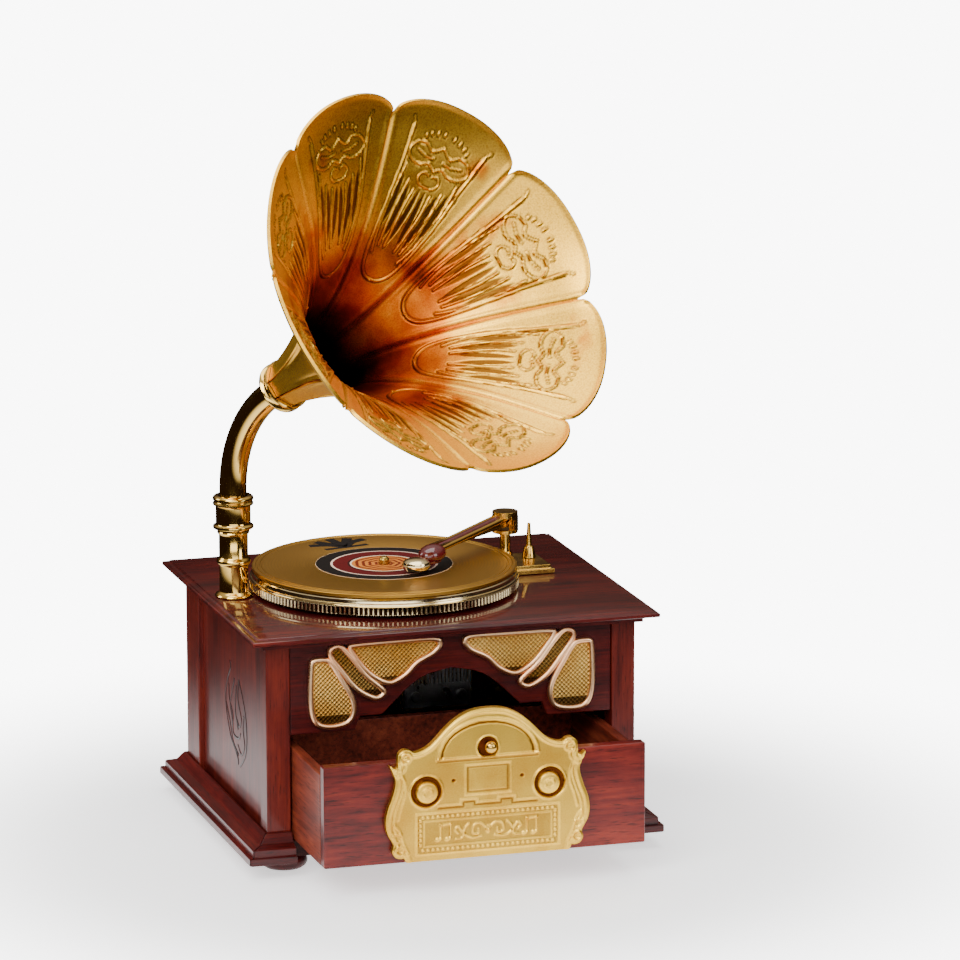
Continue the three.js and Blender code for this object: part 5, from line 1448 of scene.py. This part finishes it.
@dataclass
class HornTube:
    """The polished elbow, its sleeve and socket, and the turned collar."""

    place: HornFrame
    radius: float = 3.93
    wall: float = 0.6
    bore_depth: float = 10.0
    socket: tuple[Point2, ...] = (
        (0, 0), (5.3, 0), (5.5, 0.3), (5.3, 0.75), (4.7, 1.1), (4.25, 1.5), (4.2, 2.2), (4.2, 9.0),
        (4.45, 9.4),
        (4.85, 9.8), (5.0, 10.35), (4.85, 10.9), (4.45, 11.3), (4.2, 11.7), (4.2, 18.2), (4.5, 18.5),
        (4.7, 18.9), (4.5, 19.4), (4.2, 19.8), (0, 19.8))
    sleeve: tuple[Point2, ...] = (
        (0, 0), (5.5, 0), (5.8, 0.2), (5.9, 0.55), (5.8, 0.95), (5.3, 1.2), (5.1, 1.5), (5.05, 2.2),
        (5.05, 6.3),
        (5.15, 6.7), (5.5, 6.9), (5.85, 7.15), (5.85, 7.6), (5.45, 7.9), (5.35, 8.1), (5.5, 8.3), (5.85, 8.5),
        (5.9, 8.9), (5.8, 9.3), (5.4, 9.65), (4.25, 9.7), (4.25, 2.2), (0, 2.2))

    def build(self) -> None:
        """Turns the fixed pieces, spins the elbow, and shapes the collar."""
        foot = self.place.foot()
        for node, profile in (("horn_socket", self.socket), ("horn_sleeve", self.sleeve)):
            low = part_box(node)[0].z / MM
            obj = turned(node + "_piece", [(r, low + z) for r, z in profile], foot, 64, 40)
            fit(obj, TUBE_GOLD, "case", SLOT_OF[node], node)
        self.elbow()
        self.collar()

    def elbow(self) -> None:
        """Extrudes a round tube upright, spins it round the bend, draws out its neck, and bores its mouth."""
        p = self.place
        deselect()
        bpy.ops.mesh.primitive_circle_add(vertices=48, radius=self.radius * MM, fill_type="NGON",
                                          location=(0, 0, p.tube_bottom * MM))
        obj = bpy.context.object
        obj.name = "horn_elbow_piece"
        edit(obj)
        bpy.ops.mesh.extrude_region_move(
            TRANSFORM_OT_translate={"value": (0, 0, (p.bend_start - p.tube_bottom) * MM)})
        bpy.ops.mesh.spin(steps=44, angle=-p.turn, center=(p.bend_radius * MM, 0, p.bend_start * MM),
                          axis=(0, 1, 0))
        bpy.ops.mesh.extrude_region_move(TRANSFORM_OT_translate={
            "value": Vector((math.sin(p.turn), 0, math.cos(p.turn))) * p.neck * MM})
        bpy.ops.mesh.inset(thickness=self.wall * MM)
        bpy.ops.mesh.extrude_region_move(TRANSFORM_OT_translate={
            "value": Vector((math.sin(p.turn), 0, math.cos(p.turn))) * -self.bore_depth * MM})
        bpy.ops.mesh.select_all(action="SELECT")
        bpy.ops.mesh.remove_doubles(threshold=0.003 * MM)
        bpy.ops.mesh.normals_make_consistent(inside=False)
        bpy.ops.object.mode_set(mode="OBJECT")
        keep_place(obj)
        obj.data.transform(in_metres(p.upright()))
        smooth(obj, 50)
        fit(obj, TUBE_GOLD, "horn", SLOT_OF["horn_elbow"], "horn_elbow")
        # the bore's faces get the near-black painted shade
        obj.data.materials.append(BORE_SHADE_GILT.material())
        to_axis = in_metres(p.end()).inverted()
        middles = np.array([(to_axis @ f.center)[:] for f in obj.data.polygons]) / MM
        bore = (np.hypot(middles[:, 0], middles[:, 1]) < self.radius - self.wall * 0.8) & (
            middles[:, 2] > -self.bore_depth - 1)
        obj.data.polygons.foreach_set("material_index", bore.astype(np.int32))

    def collar(self) -> None:
        """Turns the ring where the tube meets the horn's neck."""
        low, high = -2.97, 1.53
        profile = [(4.23, low), (6.2, low), (7.0, low + 0.5), (7.45, low + 1.0), (7.5, low + 1.5),
                   (7.2, low + 1.9), (6.8, low + 2.2), (6.8, high - 1.3), (7.3, high - 0.9),
                   (7.45, high - 0.4), (7.2, high), (4.23, high), (4.23, low)]
        obj = turned("horn_collar_piece", profile, (0, 0), 56, 40)
        obj.data.transform(in_metres(self.place.end()))
        fit(obj, TUBE_GOLD, "horn", SLOT_OF["horn_collar"], "horn_collar")


@dataclass
class HornBell:
    """The bell: eight stamped petals, each with a lily raised in it, that grow from a faceted neck."""

    place: HornFrame
    petals: int = 8
    start: float = 1.68
    length: float = 76.0
    radius: float = 58.0
    throat: float = 6.7
    wall: float = 0.85
    notch: float = 0.085
    across: int = 108
    along: int = 270
    flare: tuple[Point2, ...] = ((0, 0), (0.11, 0.035), (0.245, 0.093), (0.38, 0.176), (0.54, 0.324),
                                 (0.7, 0.527), (0.825, 0.73), (0.92, 0.896), (1, 1))

    def lily(self, wider: float = 0) -> Relief:
        """The raised flower in one petal: (across, along the petal), in millimetres.

        Args:
            wider: what is added to each line's half width.

        Returns:
            The flower's relief.
        """
        r = Relief()

        def line(side: int, width: float, rise: float, *points: Point2) -> None:
            """Adds one raised line on one side of the petal."""
            r.stroke([(side * x, y) for x, y in points], width + wider, rise)
        for s in (-1, 1):
            line(s, 0.5, 0.34, (12.4, 80), (11.2, 75), (10.0, 68), (8.9, 60), (7.6, 52), (6.2, 45),
                 (4.4, 39.6), (2.2, 37.2), (0, 36.6))
            line(s, 0.36, 0.28, (8.6, 70), (8.4, 63), (7.4, 55), (6.0, 48.5), (4.4, 44))
            line(s, 0.36, 0.28, (5.6, 66), (5.5, 60), (4.8, 53), (3.6, 46.5))
            line(s, 0.36, 0.28, (2.8, 64), (2.9, 58), (2.3, 51.5), (1.8, 46.5))
            line(s, 0.4, 0.34, (0, 70.6), (2.4, 71.8), (5.0, 70.8), (8.2, 71.6), (10.0, 73.8), (8.6, 76.2),
                 (5.6, 76.8), (3.0, 75.2), (0, 77.2))
            line(s, 0.34, 0.26, (1.4, 73.6), (4.2, 73.4), (7.4, 74.4))
            line(s, 0.34, 0.28, (0, 65.6), (2.2, 66.0), (3.4, 67.8), (2.2, 69.4), (0.6, 69.0))
            line(s, 0.34, 0.26, (11.2, 76.5), (12.2, 80.6), (13.6, 82.6))
            for k in range(4):
                a = 0.2 + 0.27 * k
                x, y = s * 8.2 * math.sin(a), 76.4 + 4.2 * math.cos(a)
                r.dome((x, y), (0.42 + wider, 0.9 + wider), 0.34, -s * math.degrees(a) * 0.55)
        return r

    def hollows(self) -> Relief:
        """The strips of painted shade between the flower's stems, as a share of full darkness."""
        r = Relief()
        for s in (-1, 1):
            r.dome((s * 1.2, 56), (0.85, 8.6), 1, s * 2).dome((s * 4.1, 56.5), (0.95, 8.6), 1, -s * 4)
            r.dome((s * 6.9, 59.5), (0.8, 7.6), 1, -s * 6).dome((s * 9.7, 70), (0.5, 6.0), 0.8, -s * 8)
        return r

    def meridian(self, share: np.ndarray) -> tuple[np.ndarray, np.ndarray, np.ndarray, np.ndarray]:
        """The flare's line at each share of its length.

        Args:
            share: shares of the length, from 0 at the collar to 1 at the tips.

        Returns:
            How far along and how far out each place is, and its unit direction.
        """
        run_out, reach_out = self.length - self.start, self.radius - self.throat
        line = np.array(smooth_line([(self.start + run_out * t, self.throat + reach_out * r)
                                     for t, r in self.flare], 40))
        steps = np.linalg.norm(np.diff(line, axis=0), axis=1)
        run = np.concatenate([[0], np.cumsum(steps)])
        at = np.clip(share, 0, 1) * run[-1]
        z, r = np.interp(at, run, line[:, 0]), np.interp(at, run, line[:, 1])
        slope = np.gradient(line, run, axis=0)
        dz, dr = np.interp(at, run, slope[:, 0]), np.interp(at, run, slope[:, 1])
        size = np.hypot(dz, dr)
        self.arc = run[-1]
        return z, r, dz / size, dr / size

    def sheet(self) -> bpy.types.Object:
        """One petal's sheet on the horn's own axes, from its left joint to its right one."""
        deselect()
        bpy.ops.mesh.primitive_grid_add(x_subdivisions=self.across, y_subdivisions=self.along, size=2)
        obj = bpy.context.object
        obj.name = "petal_sheet"
        u, v = coordinates(obj)[:, 0], (coordinates(obj)[:, 1] + 1) / 2
        # rows crowd in where the lily is, columns crowd towards the petal's middle
        v = v + 0.07 * np.sin(2 * math.pi * v)
        u = u * (0.78 + 0.22 * u ** 2)
        lobe = np.sqrt(np.clip(1 - np.abs(u) ** 2.4, 0, 1))
        share = v * (1 - self.notch * (1 - lobe) * v)
        z, r, dz, dr = self.meridian(share)
        flat = math.cos(math.pi / self.petals) / np.cos(u * math.pi / self.petals)
        r_in = r * (flat + (1 - flat) * 0.75 * share)
        angle = (u + 1) * math.pi / self.petals
        side = r_in * u * math.pi / self.petals
        face = np.column_stack([side, share * self.arc * 0.955])
        raised = self.lily().at(face)
        # painted shade: a dark line runs along both flanks of each raised line
        flank_shade = 0.75 * np.clip(self.lily(0.4).at(face) / 0.12, 0, 1) * np.clip(1 - raised / 0.14, 0, 1)
        hollow_shade = np.clip(self.hollows().at(face) * 1.6, 0, 1) * np.clip(1 - raised / 0.14, 0, 1)
        edge = (1 - np.abs(u)) * r_in * math.pi / self.petals
        fade = np.clip((share - 0.12) / 0.2, 0, 1)
        groove = -0.6 * np.exp(-(edge / 0.35) ** 2) * fade
        ridge = 0.25 * np.exp(-((edge - 1.2) / 0.7) ** 2) * fade
        dish = -0.5 * (1 - u ** 2) * np.clip((share - 0.3) / 0.4, 0, 1)
        lip = 0.3 * np.exp(-(((1 - v) * self.arc) / 1.0) ** 2)
        lift = raised - 0.14 * flank_shade - 0.2 * hollow_shade + groove + ridge + dish + lip + self.wall
        # the raised work stands towards the horn's mouth, which is the sheet's inner side
        radius = r_in - lift * dz
        co = np.column_stack([radius * np.cos(angle), radius * np.sin(angle), z + lift * dr])
        move_to(obj, co * MM)
        attribute(obj, "flare", share)
        # painted shade, stored for the finish: beside the raised lines and between the stems
        attribute(obj, "line", 0.9 * np.maximum(flank_shade, hollow_shade))
        return obj

    def build(self) -> None:
        """Thickens one petal and sets eight copies round the horn's axis."""
        sheet = self.sheet()
        first = sheet.data.polygons[0]
        outward = first.center.x * first.normal.x + first.center.y * first.normal.y
        if outward > 0:
            edit(sheet, "FACE")
            bpy.ops.mesh.flip_normals()
            bpy.ops.object.mode_set(mode="OBJECT")
        inner = len(sheet.data.vertices)
        modify(sheet, "SOLIDIFY", thickness=self.wall * MM, offset=-1.0, use_rim=True, use_even_offset=False)
        flare = np.ones(len(sheet.data.vertices), np.float32)
        sheet.data.attributes["flare"].data.foreach_get("value", flare)
        # the outside gets none of the painted throat shade
        flare[inner:] = 1  # the outside is bright all over
        sheet.data.attributes["flare"].data.foreach_set("value", flare)
        line = np.zeros(len(sheet.data.vertices), np.float32)
        sheet.data.attributes["line"].data.foreach_get("value", line)
        line[inner:] = 0
        sheet.data.attributes["line"].data.foreach_set("value", line)
        for number in range(self.petals):
            obj = bpy.data.objects.new(f"horn_petal_{number + 1}", sheet.data.copy())
            bpy.context.scene.collection.objects.link(obj)
            around = Matrix.Rotation(2 * math.pi * number / self.petals, 4, "Z")
            obj.data.transform(in_metres(self.place.end() @ around))
            smooth(obj, 50)
            fit(obj, HORN_GILT, "horn", SLOT_OF["horn"], *(("horn",) if number == 0 else ()))
        bpy.data.objects.remove(sheet)


# ---- the movement -------------------------------------------------------------------------
@dataclass
class Movement:
    """The wound movement inside the case: plate, barrel, arbor, cylinder, comb, train and key."""

    brass: tuple[str, ...] = ("movement_bedplate", "spring_barrel", "arbor_bracket", "pinned_cylinder",
                              "middle_wheel", "governor", "governor_bracket", "spindle_bush")
    steel: tuple[str, ...] = ("main_arbor", "music_comb", "comb_screw_1", "comb_screw_2", "movement_screw_1",
                              "movement_screw_2", "movement_screw_3")

    def build(self) -> None:
        """Eases and finishes each piece of the movement."""
        for node in self.brass:
            eased(node, BRASS, 0.08, 1)
        for node in self.steel:
            eased(node, STEEL, 0.05, 1)
        eased("winding_key", STEEL, 0.3, 3)


# ---- floor, light and camera --------------------------------------------------------------
@dataclass
class Studio:
    """The pale floor that fades into the surround, the soft lights, and the camera."""

    azimuth: float = -16.51
    elevation: float = 12.93
    roll: float = -0.17
    distance: float = 1728.6
    focal_px: float = 6068.6
    shift_px: Point2 = (53.5, 22.3)
    aim: Point3 = (-1.4888, -25.4533, 100.0)  # from the middle of the floor board
    frame_px: int = 960

    def floor(self) -> None:
        """Lays the floor."""
        deselect()
        bpy.ops.mesh.primitive_plane_add(size=1, location=(0, 0, 0))
        obj = bpy.context.object
        obj.name = "floor"
        edit(obj, "FACE")
        bpy.ops.transform.resize(value=(30, 30, 1))
        bpy.ops.mesh.subdivide(number_cuts=4)
        bpy.ops.object.mode_set(mode="OBJECT")
        dress(keep_place(obj), SWEEP)

    def lamp(self, name: str, place: Point3, size: Point2, watts: float, colour: str = "#ffffff") -> None:
        """Hangs one soft box that faces the music box.

        Args:
            name: its name.
            place: where it hangs, in metres.
            size: its width and height, in metres.
            watts: its power.
            colour: its colour.
        """
        data = bpy.data.lights.new(name, "AREA")
        data.shape = "RECTANGLE"
        data.size, data.size_y = size
        data.energy = watts
        data.color = srgb(colour)[:3]
        obj = bpy.data.objects.new(name, data)
        bpy.context.scene.collection.objects.link(obj)
        obj.location = place
        obj.rotation_euler = (Vector((0, 0, 0.1)) - Vector(place)).to_track_quat("-Z", "Y").to_euler()

    def light(self) -> None:
        """Lights the scene: a surround, white behind the box and dimmer in reflections, and six lamps."""
        world = bpy.data.worlds.new("white_surround")
        bpy.context.scene.world = world
        world.use_nodes = True
        tree = world.node_tree
        for old in list(tree.nodes):
            tree.nodes.remove(old)
        place = add_node(tree, "ShaderNodeTexCoord")
        parts = add_node(tree, "ShaderNodeSeparateXYZ", {0: place.outputs["Generated"]})
        tone = add_node(tree, "ShaderNodeValToRGB", {"Fac": parts.outputs["Z"]}, stops=[
            (0.0, "#b4a898"), (1.0, "#ffffff"), (0.12, "#6b5f55"), (0.5, "#b8b4b0")])
        seen = add_node(tree, "ShaderNodeLightPath")
        room = add_node(tree, "ShaderNodeBackground", {"Color": tone.outputs["Color"], "Strength": 0.75})
        paper = add_node(tree, "ShaderNodeBackground", {"Color": (1, 1, 1, 1), "Strength": 9.0})
        dim = add_node(tree, "ShaderNodeValToRGB", {"Fac": parts.outputs["Z"]}, stops=[
            (0.0, "#2c1f18"), (1.0, "#ffffff"), (0.09, "#1e1510"), (0.34, "#66584c"), (0.6, "#d0c6ba")])
        mirrored = add_node(tree, "ShaderNodeBackground", {"Color": dim.outputs["Color"], "Strength": 0.85})
        inside = add_node(tree, "ShaderNodeMixShader", {0: seen.outputs["Is Glossy Ray"], 1: room.outputs[0],
                                                       2: mirrored.outputs[0]})
        mix = add_node(tree, "ShaderNodeMixShader", {0: seen.outputs["Is Camera Ray"], 1: inside.outputs[0],
                                                    2: paper.outputs[0]})
        add_node(tree, "ShaderNodeOutputWorld", {"Surface": mix.outputs[0]})
        self.lamp("key_left", (-0.75, -0.75, 0.95), (0.7, 0.7), 16)
        self.lamp("front_right", (0.85, -0.95, 0.55), (0.5, 0.8), 6)
        self.lamp("front_low", (-0.35, -1.4, 0.14), (1.4, 0.3), 6)
        self.lamp("front_wide", (-0.1, -1.7, 0.95), (1.5, 0.8), 12)
        self.lamp("overhead", (0.0, 0.1, 1.25), (1.0, 1.0), 11)
        self.lamp("back_rim", (-1.0, 0.5, 0.6), (0.5, 0.5), 4)

    def camera(self) -> None:
        """Places the camera by azimuth, elevation and roll."""
        middle = centre("floor_board")
        target = Vector((middle.x + self.aim[0], middle.y + self.aim[1], self.aim[2])) * MM
        a, e = math.radians(self.azimuth), math.radians(self.elevation)
        back = Vector((math.sin(a) * math.cos(e), -math.cos(a) * math.cos(e), math.sin(e)))
        data = bpy.data.cameras.new("camera")
        data.sensor_width = 36
        data.lens = self.focal_px * 36 / self.frame_px
        data.shift_x = self.shift_px[0] / self.frame_px
        data.shift_y = self.shift_px[1] / self.frame_px
        data.clip_end = 50
        obj = bpy.data.objects.new("camera", data)
        bpy.context.scene.collection.objects.link(obj)
        facing = back.to_track_quat("Z", "Y").to_matrix().to_4x4()
        obj.matrix_world = (Matrix.Translation(target + back * self.distance * MM) @ facing
                            @ Matrix.Rotation(math.radians(self.roll), 4, "Z"))
        bpy.context.scene.camera = obj

    def build(self) -> None:
        """Builds the floor, the lights and the camera."""
        self.floor()
        self.light()
        self.camera()


def main() -> None:
    """Builds every sub-assembly in order."""
    logging.basicConfig(level=logging.INFO, format="%(message)s")
    Studio().build()
    Case().build()
    Drawer().build()
    Turntable().build()
    Tonearm().build()
    place = HornFrame()
    HornTube(place).build()
    HornBell(place).build()
    Movement().build()
    bpy.context.view_layer.update()


if __name__ == "__main__":
    main()
